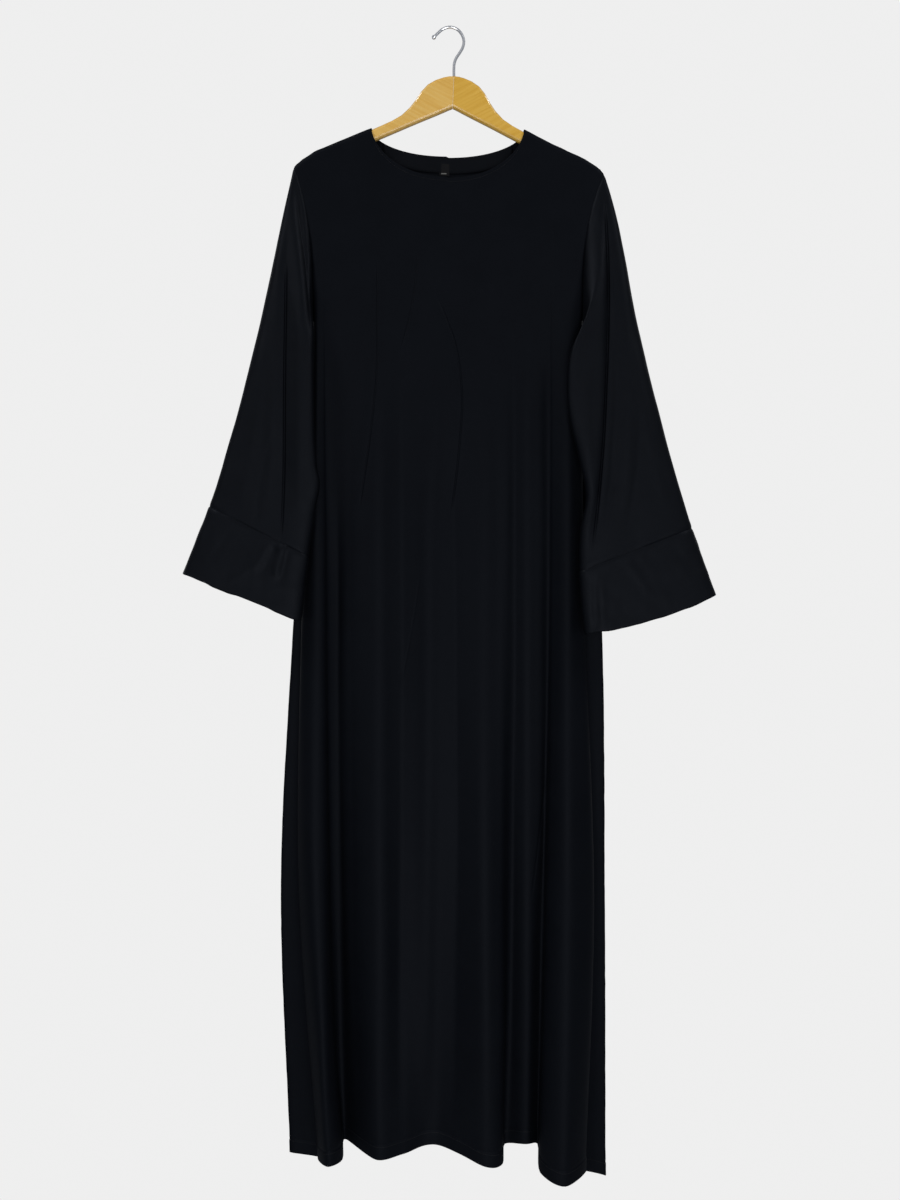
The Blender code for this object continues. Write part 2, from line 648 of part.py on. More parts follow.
def label_sheet():
    """A small rectangle read off the back panel's own faces, just under the facing."""
    points = []
    for drop in (LABEL_DROP, LABEL_DROP + LABEL_HEIGHT):
        line = []
        for x in LABEL_X + LABEL_WIDTH * np.array([-0.5, 0.0, 0.5]):
            col = int(np.searchsorted(back[0, :, 0], x)) - 1
            share = (x - back[0, col, 0]) / (back[0, col + 1, 0] - back[0, col, 0])
            path = back[:6, col] * (1.0 - share) + back[:6, col + 1] * share
            heights = path[0, 2] - path[:, 2]
            line.append([np.interp(drop, heights, path[:, axis]) for axis in range(3)])
        points.append(line)
    return np.array(points)


label = label_sheet()
label_normals = np.zeros_like(label)
label_normals[:, :, 1] = 1.0
label = label - label_normals * facing_inset

add_wall("front_panel", front, front_normals, WALL, black_cloth)
add_wall("back_panel", back, back_normals, WALL, black_cloth)
for side_name in sleeves:
    add_wall("sleeve_" + side_name, sleeves[side_name], tube_normals[side_name], WALL, black_cloth, tube=True)
    add_wall("cuff_" + side_name, cuffs[side_name], cuff_normals[side_name], WALL, black_cloth, tube=True)
add_wall("neck_facing", facing, facing_normals, FACING_WALL, black_facing)
add_wall("neck_label", label, label_normals, FACING_WALL, black_label)


# Hanger and hook


def arm_section(top, bottom):
    """A rounded oblong, from the top round the back to the bottom and up the front, as depth and height."""
    corner = min(WOOD_CORNER, (top - bottom) / 2.0 - 0.2)
    angles = np.radians([90.0, 60.0, 30.0, 0.0])
    depth = (WOOD_HALF_THICK - corner) + corner * np.cos(angles)
    rise = corner - corner * np.sin(angles)
    back_up = [(y, top - z) for y, z in zip(depth, rise)]
    back_low = [(y, bottom + z) for y, z in zip(depth[::-1], rise[::-1])]
    front_low = [(-y, z) for y, z in reversed(back_low)]
    front_up = [(-y, z) for y, z in reversed(back_up)]
    return back_up + back_low + front_low + front_up


def add_arm(name, side):
    """One arm of the hanger: rounded sections along the arm, closed at the mitre and at the tip."""
    points = []
    for distance, top, bottom in WOOD_ARM:
        for depth, height in arm_section(top, bottom):
            x = side * distance
            across = WOOD_X + x * np.cos(WOOD_TILT) + height * np.sin(WOOD_TILT)
            up = WOOD_Z + height * np.cos(WOOD_TILT) - x * np.sin(WOOD_TILT)
            points.append((across, float(sweep(x)) + depth, up))
    ring = len(points) // len(WOOD_ARM)
    faces = [list(range(ring))[::-1], [len(points) - ring + k for k in range(ring)]]
    for i in range(len(WOOD_ARM) - 1):
        for j in range(ring):
            k = (j + 1) % ring
            faces.append([i * ring + j, i * ring + k, (i + 1) * ring + k, (i + 1) * ring + j])
    return add_object(name, points, faces, varnished_wood)


def add_hook():
    """The bent wire, with its swollen ball tip, down to a foot that stands on the wood."""
    xs = column(HOOK_LINE, HOOK_COLUMNS, "x")
    zs = column(HOOK_LINE, HOOK_COLUMNS, "z")
    foot = (xs[-1], WOOD_Z + 0.5)
    xs, zs = np.append(xs, foot[0]), np.append(zs, foot[1])
    knots = np.concatenate(([0.0], np.cumsum(np.hypot(np.diff(xs), np.diff(zs)))))
    tip = np.array([share for share, _ in TIP_SWELL]) * TIP_LENGTH
    places = np.concatenate([tip, np.linspace(TIP_LENGTH, knots[-1], HOOK_POINTS)[1:]])
    swell = np.concatenate([[size for _, size in TIP_SWELL], np.ones(HOOK_POINTS - 1)])
    wire = bpy.data.curves.new("hook", "CURVE")
    wire.dimensions = "3D"
    wire.bevel_depth = WIRE_RADIUS * MM
    wire.bevel_resolution = 3
    wire.use_fill_caps = True
    line = wire.splines.new("POLY")
    line.points.add(len(places) - 1)
    for point, place, size in zip(line.points, places, swell):
        point.co = (curve(knots, xs, place) * MM, 0.0, curve(knots, zs, place) * MM, 1.0)
        point.radius = size
    wire.materials.append(chrome)
    made = bpy.data.objects.new("hook", wire)
    bpy.context.collection.objects.link(made)
    return made


add_arm("hanger_left", -1.0)
add_arm("hanger_right", 1.0)
add_hook()
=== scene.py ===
"""Looks of a black closed-front abaya that hangs on a varnished wooden hanger."""

from math import pi, radians

import bmesh
import bpy
import numpy as np
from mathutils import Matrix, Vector


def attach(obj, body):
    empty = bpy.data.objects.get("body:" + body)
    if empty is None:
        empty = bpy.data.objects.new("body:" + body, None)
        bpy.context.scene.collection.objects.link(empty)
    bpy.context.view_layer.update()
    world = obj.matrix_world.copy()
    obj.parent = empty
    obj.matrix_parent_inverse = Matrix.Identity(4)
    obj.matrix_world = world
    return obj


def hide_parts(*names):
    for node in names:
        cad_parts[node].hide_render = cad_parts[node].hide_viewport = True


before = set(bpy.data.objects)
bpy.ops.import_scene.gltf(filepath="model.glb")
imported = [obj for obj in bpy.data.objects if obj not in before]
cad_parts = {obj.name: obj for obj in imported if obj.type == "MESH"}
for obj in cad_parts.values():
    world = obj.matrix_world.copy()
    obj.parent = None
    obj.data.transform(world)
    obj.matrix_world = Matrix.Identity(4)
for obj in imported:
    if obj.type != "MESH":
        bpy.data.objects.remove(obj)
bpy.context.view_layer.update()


# Hanger arms
# Two shaped arms of pale hardwood, mitred in the middle and glued, rounded along their edges and
# dipped in golden varnish. The grain runs along each arm.

GRAIN_ACROSS, GRAIN_ALONG = 260.0, 9.0  # grain lines for each metre
GRAIN_DEPTH = 0.0004
WOOD_ROUGHNESS = (0.22, 0.4)
VARNISH_COAT, VARNISH_ROUGHNESS = 0.7, 0.12


def new_material(name, base, roughness):
    """A material whose shader has its plain numbers set, with its node tree and its shader."""
    made = bpy.data.materials.new(name)
    made.use_nodes = True
    shader = made.node_tree.nodes["Principled BSDF"]
    shader.inputs["Base Color"].default_value = (*base, 1.0)
    shader.inputs["Roughness"].default_value = roughness
    return made, made.node_tree, shader


def add_node(tree, kind, **values):
    """A node with its sockets set by name."""
    node = tree.nodes.new(kind)
    for name, value in values.items():
        node.inputs[name.replace("_", " ")].default_value = value
    return node


def color_band(tree, source, stops):
    """A colour ramp over a value, from pairs of place and colour."""
    ramp = tree.nodes.new("ShaderNodeValToRGB")
    ramp.color_ramp.elements[0].position = stops[0][0]
    ramp.color_ramp.elements[0].color = (*stops[0][1], 1.0)
    ramp.color_ramp.elements[1].position = stops[-1][0]
    ramp.color_ramp.elements[1].color = (*stops[-1][1], 1.0)
    for place, color in stops[1:-1]:
        ramp.color_ramp.elements.new(place).color = (*color, 1.0)
    tree.links.new(source, ramp.inputs["Fac"])
    return ramp.outputs["Color"]


def add_bump(tree, shader, height, strength, distance, under=None):
    """Bump from a height in metres. It goes on top of the bump under it."""
    bump = add_node(tree, "ShaderNodeBump", Strength=strength, Distance=distance)
    tree.links.new(height, bump.inputs["Height"])
    if under is not None:
        tree.links.new(under, bump.inputs["Normal"])
    tree.links.new(bump.outputs["Normal"], shader.inputs["Normal"])
    return bump.outputs["Normal"]


def object_texture(tree, kind, **values):
    """A texture or mapping node that reads the object's own coordinates."""
    texture = add_node(tree, kind, **values)
    place = tree.nodes.new("ShaderNodeTexCoord")
    tree.links.new(place.outputs["Object"], texture.inputs["Vector"])
    return texture


def vary_roughness(tree, shader, source, low, high):
    """Roughness between two numbers, by a texture."""
    rough = add_node(tree, "ShaderNodeMapRange", To_Min=low, To_Max=high)
    tree.links.new(source, rough.inputs["Value"])
    tree.links.new(rough.outputs["Result"], shader.inputs["Roughness"])


def give_finish(node_name, finish):
    """Gives one of the CAD's own nodes its material."""
    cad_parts[node_name].data.materials.clear()
    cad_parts[node_name].data.materials.append(finish)


def varnished_wood(name, slope, pale, golden, brown):
    """Wood whose grain runs along an arm that slopes down by the given angle."""
    made, tree, shader = new_material(name, golden, 0.3)
    shader.inputs["Coat Weight"].default_value = VARNISH_COAT
    shader.inputs["Coat Roughness"].default_value = VARNISH_ROUGHNESS
    turn = object_texture(tree, "ShaderNodeMapping", Rotation=(0.0, slope, 0.0))
    along = add_node(tree, "ShaderNodeMapping", Scale=(GRAIN_ALONG, GRAIN_ACROSS, GRAIN_ACROSS))
    tree.links.new(turn.outputs["Vector"], along.inputs["Vector"])
    grain = add_node(tree, "ShaderNodeTexNoise", Scale=1.0, Detail=6.0, Roughness=0.62, Distortion=0.4)
    tree.links.new(along.outputs["Vector"], grain.inputs["Vector"])
    bands = color_band(tree, grain.outputs["Fac"], ((0.3, brown), (0.5, golden), (0.72, pale)))
    tree.links.new(bands, shader.inputs["Base Color"])
    vary_roughness(tree, shader, grain.outputs["Fac"], *WOOD_ROUGHNESS)
    add_bump(tree, shader, grain.outputs["Fac"], 0.25, GRAIN_DEPTH)
    return made


ARM_SLOPE = radians(27.0)
# Pale, middle and brown grain of each arm. The left arm is painted paler as painted light and the right arm
# darker as painted shade, for how the light falls on the two halves.
WOOD_LEFT_LIT = ((0.97, 0.63, 0.18), (0.93, 0.56, 0.13), (0.85, 0.48, 0.09))
WOOD_RIGHT_SHADED = ((0.94, 0.57, 0.10), (0.88, 0.51, 0.07), (0.77, 0.41, 0.04))
wood_left_lit = varnished_wood("varnish_left_lit", -ARM_SLOPE, *WOOD_LEFT_LIT)
wood_right_shaded = varnished_wood("varnish_right_shaded", ARM_SLOPE, *WOOD_RIGHT_SHADED)
give_finish("hanger_left", wood_left_lit)
give_finish("hanger_right", wood_right_shaded)


# Hook
# One length of 4 mm steel wire, bent cold into a question mark, with a rounded tip, chrome plated.
# Its foot goes down into the wood where the two arms meet.

CHROME = (0.94, 0.95, 0.97)
CHROME_ROUGHNESS = (0.12, 0.3)
chrome, chrome_tree, chrome_shader = new_material("bright_chrome", CHROME, 0.2)
chrome_shader.inputs["Metallic"].default_value = 0.8
chrome_marks = object_texture(chrome_tree, "ShaderNodeTexNoise", Scale=420.0, Detail=3.0)
vary_roughness(chrome_tree, chrome_shader, chrome_marks.outputs["Fac"], *CHROME_ROUGHNESS)
give_finish("hook", chrome)


# Body panels
# A front and a back, each cut in one piece from black crepe and sewn together at the shoulders and
# the sides. They hang in long folds from the hanger's arms. The tables are in millimetres.

MM = 0.001
CLOTH = 1.2  # thickness of a single layer
TOP_MEAN, HEM_MEAN = -180.0, -1575.0  # mean heights of the top edge and of the hem
NECK_REACH = 0.16  # share of the length in which the neck's scoop levels out
# Stations down the length, as shares of it
CHEST, HIP, KNEE, HEM = 0.16, 0.48, 0.735, 1.0
FOLDS_START, FOLDS_FULL = 0.03, 0.48
DEPTH_START = 0.2  # above this station a fold keeps its depth at the hip
HEM_WAVE_START = 0.45  # from here down the rows bend towards the hem's line
ARMPIT = 0.163
NECK_CENTRE_X, NECK_HALF_WIDTH = -4.0, 106.5
FRONT_NECK_DROP, BACK_NECK_DROP = 68.0, 36.0
NECK_ROUND, NECK_FLARE = 2.2, 0.56
SPREAD_LEFT, SPREAD_RIGHT, SPREAD_FULL_AT = 23.0, 31.0, 190.0  # extra width at the shoulders
SPREAD_CURVE, SPREAD_FADE = 4, 3  # how late it starts across, and how soon it ends below
ROLL = 8.0  # radius of the cloth where it rolls over the hanger's arm
SWEEP, SWEEP_AT, SWEEP_CURVE = 16.0, 210.0, 1.6  # how far the arms come forward at their ends
SHOULDER_LINE = (
    (-240.0, -232.0), (-222.0, -206.0), (-215.0, -197.5), (-205.0, -188.0), (-188.0, -176.1),
    (-110.5, -141.7), (0.0, -96.0), (102.5, -143.5), (136.0, -162.0), (186.0, -187.0),
    (203.0, -198.5), (212.0, -208.5), (221.0, -222.0), (240.0, -250.0),
)
SIDE_SEAM_LEFT = (-193, -223, -240, -228, 10, 20, 30, -1583)
SIDE_SEAM_RIGHT = (185, 212.5, 218, 220, 8, 20, 30, -1616)
# Each fold: x at the chest, hip, knee and hem, y at the hip, knee and hem, and the hem's height
FRONT_FOLDS = (
    SIDE_SEAM_LEFT,
    (-191, -205, -207, -178, 3, 7, 10, -1588),
    (-189.5, -209, -212, -185, -9, -8, -8, -1580),
    (-184, -190, -189, -168, -20, -33, -42, -1578),
    (-178, -177, -170.5, -151, -14, -20, -26, -1575),
    (-173, -171, -165, -149, -6, -4, 3, -1555),
    (-110, -109, -106, -101, -18, -30, -40, -1569),
    (-70, -68, -63.5, -65, -14, -22, -27, -1565),
    (-20, -21, -22, -23, -16, -18, -13, -1557),
    (45, 46, 48.5, 51, -19, -33, -44, -1578),
    (66, 68.5, 68, 70, -16, -25, -34, -1578),
    (80, 80, 79, 75, -11, -8, -2, -1560),
    (108, 109, 109.5, 107, -14, -12, -11, -1557),
    (137, 136, 130, 122, -5, -3, 1, -1561),
    (143, 142.5, 135, 124, -13, -22, -31, -1590),
    (163, 161, 161, 156, -24, -38, -50, -1602),
    (180, 187.5, 199, 187, -12, -16, -24, -1593),
    (183, 185, 195, 183, 0, 2, 4, -1603),
    SIDE_SEAM_RIGHT,
)
BACK_FOLDS = (
    SIDE_SEAM_LEFT,
    (-187, -214, -228, -214, 23, 37, 48, -1578),
    (-165, -178, -178, -168, 31, 47, 60, -1568),
    (-126, -127, -124, -120, 20, 24, 27, -1560),
    (-80, -82, -84, -83, 29, 42, 55, -1566),
    (-36, -36, -38, -40, 21, 27, 31, -1561),
    (5, 6, 4, 2, 27, 39, 50, -1564),
    (46, 47, 46, 44, 20, 25, 28, -1562),
    (94, 94, 96, 97, 30, 44, 57, -1570),
    (134, 136, 138, 137, 20, 27, 32, -1576),
    (165, 172, 176, 178, 28, 43, 54, -1594),
    (180, 203, 209, 210, 21, 35, 46, -1606),
    SIDE_SEAM_RIGHT,
)
FRONT_COLUMNS, BACK_COLUMNS = 176, 132
FINE_STEPS = 4001  # steps along a cross-section when its columns are placed
CORNER_NEAREST, CORNER_FARTHEST, CORNER_COUNT = 0.0005, 0.08, 9  # columns inside a neck corner
CORNER_OUTSIDE = (0.006, 0.02)
CORNER_CLEAR = 0.45  # share of a column's width kept clear around them
ROW_STEP = 6.0
HEM_TURN = 19.0  # depth of the hem that is turned up and stitched
NECK_BAND = 7.0  # depth of the turned neck edge
HEM_EXTRA, NECK_EXTRA = 0.7, 0.5  # extra thickness of the turned hem and neck edge, in layers


def smooth_step(low, high, at):
    """0 at low, 1 at high, and level at both ends."""
    share = np.clip((np.asarray(at, float) - low) / (high - low), 0.0, 1.0)
    return share * share * (3.0 - 2.0 * share)


def curve(knots, values, at):
    """A smooth curve through the values at the knots, read at the given places."""
    knots = np.asarray(knots, float)
    values = np.asarray(values, float)
    at = np.asarray(at, float)
    steps = np.diff(knots)
    rises = np.diff(values) / steps
    slopes = np.empty_like(values)
    slopes[0] = rises[0]
    slopes[-1] = rises[-1]
    slopes[1:-1] = (rises[:-1] * steps[1:] + rises[1:] * steps[:-1]) / (steps[1:] + steps[:-1])
    place = np.clip(np.searchsorted(knots, at, side="right") - 1, 0, len(steps) - 1)
    width = steps[place]
    share = (at - knots[place]) / width
    rest = 1.0 - share
    return (
        values[place] * rest * rest * (1.0 + 2.0 * share)
        + values[place + 1] * share * share * (3.0 - 2.0 * share)
        + slopes[place] * width * share * rest * rest
        - slopes[place + 1] * width * share * share * rest
    )


def section(xs, ys, u):
    """Points of one cross-section: a curve through the folds whose knots follow their spacing."""
    spacing = np.sqrt(np.hypot(np.diff(xs), np.diff(ys)) + 1e-9)
    knots = np.concatenate(([0.0], np.cumsum(spacing)))
    place = np.interp(u, np.arange(len(knots)), knots)
    return curve(knots, xs, place), curve(knots, ys, place)


def unit(vectors):
    """Vectors of length 1."""
    return vectors / np.maximum(np.linalg.norm(vectors, axis=-1, keepdims=True), 1e-12)


def sweep(x):
    """How far forward the hanger's arm lies at x."""
    return -SWEEP * (np.abs(x) / SWEEP_AT) ** SWEEP_CURVE


def shoulder_height(x):
    """Height of the shoulder line at x."""
    line = np.array(SHOULDER_LINE)
    return np.interp(x, line[:, 0], line[:, 1])


def top_edge(x, neck_drop):
    """Height of a panel's top edge: the shoulder line, and the neck's scoop between its corners."""
    across = np.clip((x - NECK_CENTRE_X) / NECK_HALF_WIDTH, -1.0, 1.0)
    left, right = (shoulder_height(NECK_CENTRE_X + side * NECK_HALF_WIDTH) for side in (-1, 1))
    corners = np.where(x < NECK_CENTRE_X, left, right)
    scoop = corners - neck_drop * (1.0 - np.abs(across) ** NECK_ROUND) ** NECK_FLARE
    return np.where(np.abs(across) < 1.0, scoop, shoulder_height(x))


def shoulder_spread(chest):
    """How much wider the panel is at the shoulder than at the chest."""
    full = np.where(chest < 0.0, -SPREAD_LEFT, SPREAD_RIGHT)
    return full * (np.abs(chest) / SPREAD_FULL_AT) ** SPREAD_CURVE


def top_x(folds, u):
    """Places across of the columns at the shoulder."""
    chest = np.array(folds, float)[:, 0]
    return section(chest + shoulder_spread(chest), np.zeros_like(chest), u)[0]


def panel_columns(folds, count):
    """Columns as u, evenly along the cloth between chest and hem, and closer at the neck's corners."""
    table = np.array(folds, float)
    fine = np.linspace(0.0, len(folds) - 1.0, FINE_STEPS)
    reach = np.zeros(FINE_STEPS)
    for xs, ys in ((table[:, 1], table[:, 4]), (table[:, 3], table[:, 6])):
        x, y = section(xs, ys, fine)
        arc = np.concatenate(([0.0], np.cumsum(np.hypot(np.diff(x), np.diff(y)))))
        reach += arc / arc[-1]
    even = np.interp(np.linspace(0.0, 2.0, count), reach, fine)
    inner = 1.0 - np.geomspace(CORNER_NEAREST, CORNER_FARTHEST, CORNER_COUNT)
    shares = np.concatenate([inner, [1.0], 1.0 + np.array(CORNER_OUTSIDE)])
    corners = np.concatenate([NECK_CENTRE_X + side * shares * NECK_HALF_WIDTH for side in (-1, 1)])
    corner_u = np.interp(corners, top_x(folds, fine), fine)
    clear = np.min(np.abs(corner_u[None, :] - even[:, None]), axis=1) > even[1] * CORNER_CLEAR
    clear[[0, -1]] = True
    return np.sort(np.concatenate([even[clear], corner_u]))


LENGTH = TOP_MEAN - HEM_MEAN
EDGE_STEPS = np.array([0.0, 0.3, 1.1, 2.4, 4.4, 7.5, 11.5, 16.5])  # rows close to an edge
HEM_STEPS = np.array([23.0, 21.0, 19.6, 18.4, 17.0, 14.0, 10.0, 6.0, 3.0, 1.0, 0.0])
ARMHOLE_INSET, ARMHOLE_ROWS, ABOVE_HEM = 22.0, 34, 26.0
ARMHOLE_DEPTH = ARMPIT * LENGTH
armhole_middle = np.linspace(ARMHOLE_INSET, ARMHOLE_DEPTH - ARMHOLE_INSET, ARMHOLE_ROWS)
armhole_drops = np.concatenate([EDGE_STEPS, armhole_middle, (ARMHOLE_DEPTH - EDGE_STEPS)[::-1]])
ARMPIT_ROW = len(armhole_drops) - 1
lower_rows = int((LENGTH - ABOVE_HEM - ARMHOLE_DEPTH) / ROW_STEP)
lower_drops = np.linspace(ARMHOLE_DEPTH, LENGTH - ABOVE_HEM, lower_rows)[1:]
rows_v = np.concatenate([armhole_drops, lower_drops, LENGTH - HEM_STEPS]) / LENGTH


def panel_sheet(folds, u, neck_drop, side):
    """Middle surface of a panel. side is -1 for the front and 1 for the back."""
    table = np.array(folds, float)
    chest = table[:, 0]
    x_rows = np.stack([chest, chest, table[:, 1], table[:, 2], table[:, 3]], axis=1)
    y_rows = np.stack([table[:, 4], table[:, 4], table[:, 5], table[:, 6]], axis=1)
    hem_z = section(np.arange(len(table)) * 10.0, table[:, 7], u)[1]
    edge_z = top_edge(top_x(folds, u), neck_drop)
    sheet = []
    for v in rows_v:
        xs = np.array([curve((0, CHEST, HIP, KNEE, HEM), fold, v) for fold in x_rows])
        xs = xs + shoulder_spread(chest) * max(0.0, 1.0 - v / CHEST) ** SPREAD_FADE
        at = max(v, DEPTH_START)
        ys = np.array([curve((DEPTH_START, HIP, KNEE, HEM), fold, at) for fold in y_rows])
        x, y_fold = section(xs, ys, u)
        z = (
            TOP_MEAN
            + v * (HEM_MEAN - TOP_MEAN)
            + (edge_z - TOP_MEAN) * max(0.0, 1.0 - v / NECK_REACH) ** 2
            + (hem_z - HEM_MEAN) * smooth_step(HEM_WAVE_START, 1.0, v)
        )
        below = np.clip((shoulder_height(x) - z) / ROLL, 0.0, 1.0)
        y_top = sweep(x) + side * ROLL * np.sqrt(1.0 - (1.0 - below) ** 2)
        grown = smooth_step(FOLDS_START, FOLDS_FULL, v)
        sheet.append(np.column_stack([x, y_top * (1.0 - grown) + y_fold * grown, z]))
    return np.array(sheet)


front_u = panel_columns(FRONT_FOLDS, FRONT_COLUMNS)
back_u = panel_columns(BACK_FOLDS, BACK_COLUMNS)
front = panel_sheet(FRONT_FOLDS, front_u, FRONT_NECK_DROP, -1.0)
back = panel_sheet(BACK_FOLDS, back_u, BACK_NECK_DROP, 1.0)
# Below the armpits both panels are drawn to their shared side seams, over this many folds
PULL_START, FRONT_PULL, BACK_PULL = 0.05, 3.0, 1.6
for edge in (0, -1):
    middle = (front[:, edge, 1] + back[:, edge, 1]) / 2.0
    pull = smooth_step(ARMPIT - PULL_START, ARMPIT, rows_v)
    for sheet, u, reach in ((front, front_u, FRONT_PULL), (back, back_u, BACK_PULL)):
        near = np.clip(1.0 - np.abs(u - u[edge]) / reach, 0.0, 1.0) ** 2
        share = pull[:, None] * near[None, :]
        sheet[:, :, 1] = sheet[:, :, 1] * (1.0 - share) + middle[:, None] * share


def sheet_normals(sheet, above=None):
    """Unit normals of a sheet, pointing to the front. above is the next row over a shoulder seam."""
    before, after = sheet[:, :1] * 2 - sheet[:, 1:2], sheet[:, -1:] * 2 - sheet[:, -2:-1]
    wide = np.concatenate([before, sheet, after], axis=1)
    above = sheet[0] * 2 - sheet[1] if above is None else above
    tall = np.concatenate([above[None], sheet, (sheet[-1] * 2 - sheet[-2])[None]])
    normals = unit(np.cross(wide[:, 2:] - wide[:, :-2], tall[2:] - tall[:-2]))
    return normals if normals[:, :, 1].mean() < 0 else -normals


def over_shoulder(sheet):
    """The next points over the shoulder seam: the second row mirrored across the seam."""
    mirrored = sheet[1].copy()
    mirrored[:, 1] = 2.0 * sheet[0, :, 1] - sheet[1, :, 1]
    on_shoulder = np.abs(sheet[0, :, 0] - NECK_CENTRE_X) > NECK_HALF_WIDTH - 0.02
    return np.where(on_shoulder[:, None], mirrored, sheet[0] * 2 - sheet[1])


def panel_normals(side):
    """Normals of both panels, pointing out of the garment and shared along the side seams."""
    out_front = sheet_normals(front, over_shoulder(front))
    out_back = -sheet_normals(back, over_shoulder(back))
    for edge in (0, -1):
        low = slice(ARMPIT_ROW, None)
        shared = unit(out_front[low, edge] + out_back[low, edge])
        out_front[low, edge] = shared
        out_back[low, edge] = shared
    return out_front if side < 0 else out_back


NOISE_SIZE = 97


def soft_noise(x, y, seed):
    """Smooth random heights between -1 and 1, with one hill or hollow for each unit."""
    table = np.random.default_rng(seed).uniform(-1.0, 1.0, (NOISE_SIZE, NOISE_SIZE))
    column = np.floor(x).astype(int)
    row = np.floor(y).astype(int)
    a = x - column
    b = y - row
    a = a * a * a * (a * (a * 6.0 - 15.0) + 10.0)
    b = b * b * b * (b * (b * 6.0 - 15.0) + 10.0)
    left, right = column % NOISE_SIZE, (column + 1) % NOISE_SIZE
    under, over = row % NOISE_SIZE, (row + 1) % NOISE_SIZE
    low = table[left, under] * (1.0 - a) + table[right, under] * a
    high = table[left, over] * (1.0 - a) + table[right, over] * a
    return low * (1.0 - b) + high * b


def hanging_ripples(x, z, seed):
    """Small long ripples of hanging cloth, in millimetres."""
    return (
        0.75 * soft_noise(x / 31.0, z / 420.0, seed)
        + 0.16 * soft_noise(x / 14.0, z / 190.0, seed + 1)
        + 0.10 * soft_noise((x + z) / 17.0, (x - z) / 26.0, seed + 3)
    )


def creases(x, z, table):
    """Height from creases: the points of each from top to bottom, its width and its height."""
    total = np.zeros_like(x)
    for line, width, height in table:
        line = np.array(line, float)[::-1]
        length = line[-1, 1] - line[0, 1]
        share = (z - line[0, 1]) / length
        ends = smooth_step(0.0, CREASE_ENDS, share) * smooth_step(0.0, CREASE_ENDS, 1.0 - share)
        off = np.abs(x - np.interp(z, line[:, 1], line[:, 0])) / width
        total += height * ends * np.exp(-(off ** (RIDGE_SHAPE if height > 0.0 else HOLLOW_SHAPE)))
    return total


def seam_dip(distance, along, seed):
    """A sewn seam: a narrow groove, the pressed allowance beside it, and slight puckers."""
    pucker = soft_noise(along / 11.0, distance * 0.0, seed)
    dip = -0.55 * np.exp(-((distance / 1.7) ** 2)) + 0.28 * np.exp(-(((distance - 6.0) / 4.0) ** 2))
    return dip + 0.25 * pucker * np.exp(-((distance / 8.0) ** 2))


def edge_distance(sheet, axis, last):
    """Distance along the cloth from one edge of a sheet."""
    ordered = np.flip(sheet, axis) if last else sheet
    steps = np.linalg.norm(np.diff(ordered, axis=axis), axis=2)
    start = np.zeros_like(np.take(steps, [0], axis))
    reach = np.concatenate([start, np.cumsum(steps, axis=axis)], axis=axis)
    return np.flip(reach, axis) if last else reach


RIDGE_SHAPE, HOLLOW_SHAPE = 2.0, 1.25  # a ridge is round and a hollow is sharper at its bottom
CREASE_ENDS = 0.22  # share of a crease in which each of its ends fades
# Each crease: points of x and z from top to bottom, width, and height, which is below 0 for a hollow
FRONT_CREASES = (
    (((-108, -300), (-109, -478), (-116, -554), (-134, -678)), 7.0, 0.7),
    (((-38, -310), (-50, -400), (-60, -440), (-67, -480)), 7.0, 0.7),
    (((-31, -368), (-13, -413), (1, -459), (6, -494), (7, -526), (4, -577), (-8, -690)), 7.0, 0.8),
    (((-4, -225), (-4, -260), (-6, -330)), 12.0, -0.6),
    (((45, -225), (46, -280), (46, -380)), 14.0, -0.6),
    (((128, -240), (124, -320), (118, -470)), 14.0, -0.8),
    (((-158, -600), (-159, -900), (-152, -1600)), 9.0, -6.5),
    (((-180, -560), (-180, -900), (-172, -1600)), 7.0, 3.0),
    (((-140, -420), (-140, -900), (-132, -1600)), 13.0, -1.6),
    (((-70, -420), (-67, -800), (-68, -1100), (-72, -1590)), 16.0, -5.4),
    (((-100, -380), (-99, -700), (-97, -1100), (-92, -1500)), 12.0, 3.0),
    (((-14, -420), (-31, -700), (-31, -1000), (-35, -1600)), 12.0, 3.0),
    (((2, -500), (6, -800), (8, -1100), (2, -1590)), 19.0, -6.0),
    (((48, -420), (47, -700), (46, -1100), (50, -1590)), 14.0, 2.6),
    (((78, -400), (79, -560), (78, -900), (75, -1250), (70, -1600)), 9.0, 3.6),
    (((86, -320), (88, -560), (88, -900), (84, -1250), (80, -1600)), 8.0, -3.4),
    (((106, -330), (106, -560), (106, -900), (104, -1450)), 10.0, 1.6),
    (((125, -400), (125, -900), (122, -1300)), 8.0, 2.6),
    (((160, -420), (162, -800), (162, -1300)), 12.0, 1.5),
)
BACK_CREASES = (
    (((-118, -300), (-112, -430), (-122, -640)), 3.4, -1.3),
    (((-42, -330), (-30, -470), (-24, -690)), 3.2, -1.3),
    (((38, -290), (30, -430), (44, -620)), 3.4, -1.4),
    (((108, -420), (98, -560), (104, -760)), 4.0, -1.1),
    (((-100, -500), (-102, -900), (-103, -1400)), 11.0, 1.2),
    (((-20, -450), (-15, -900), (-16, -1450)), 11.0, -1.2),
    (((70, -400), (70, -850), (72, -1400)), 11.0, 1.3),
    (((118, -500), (118, -900), (119, -1350)), 9.0, -1.1),
)


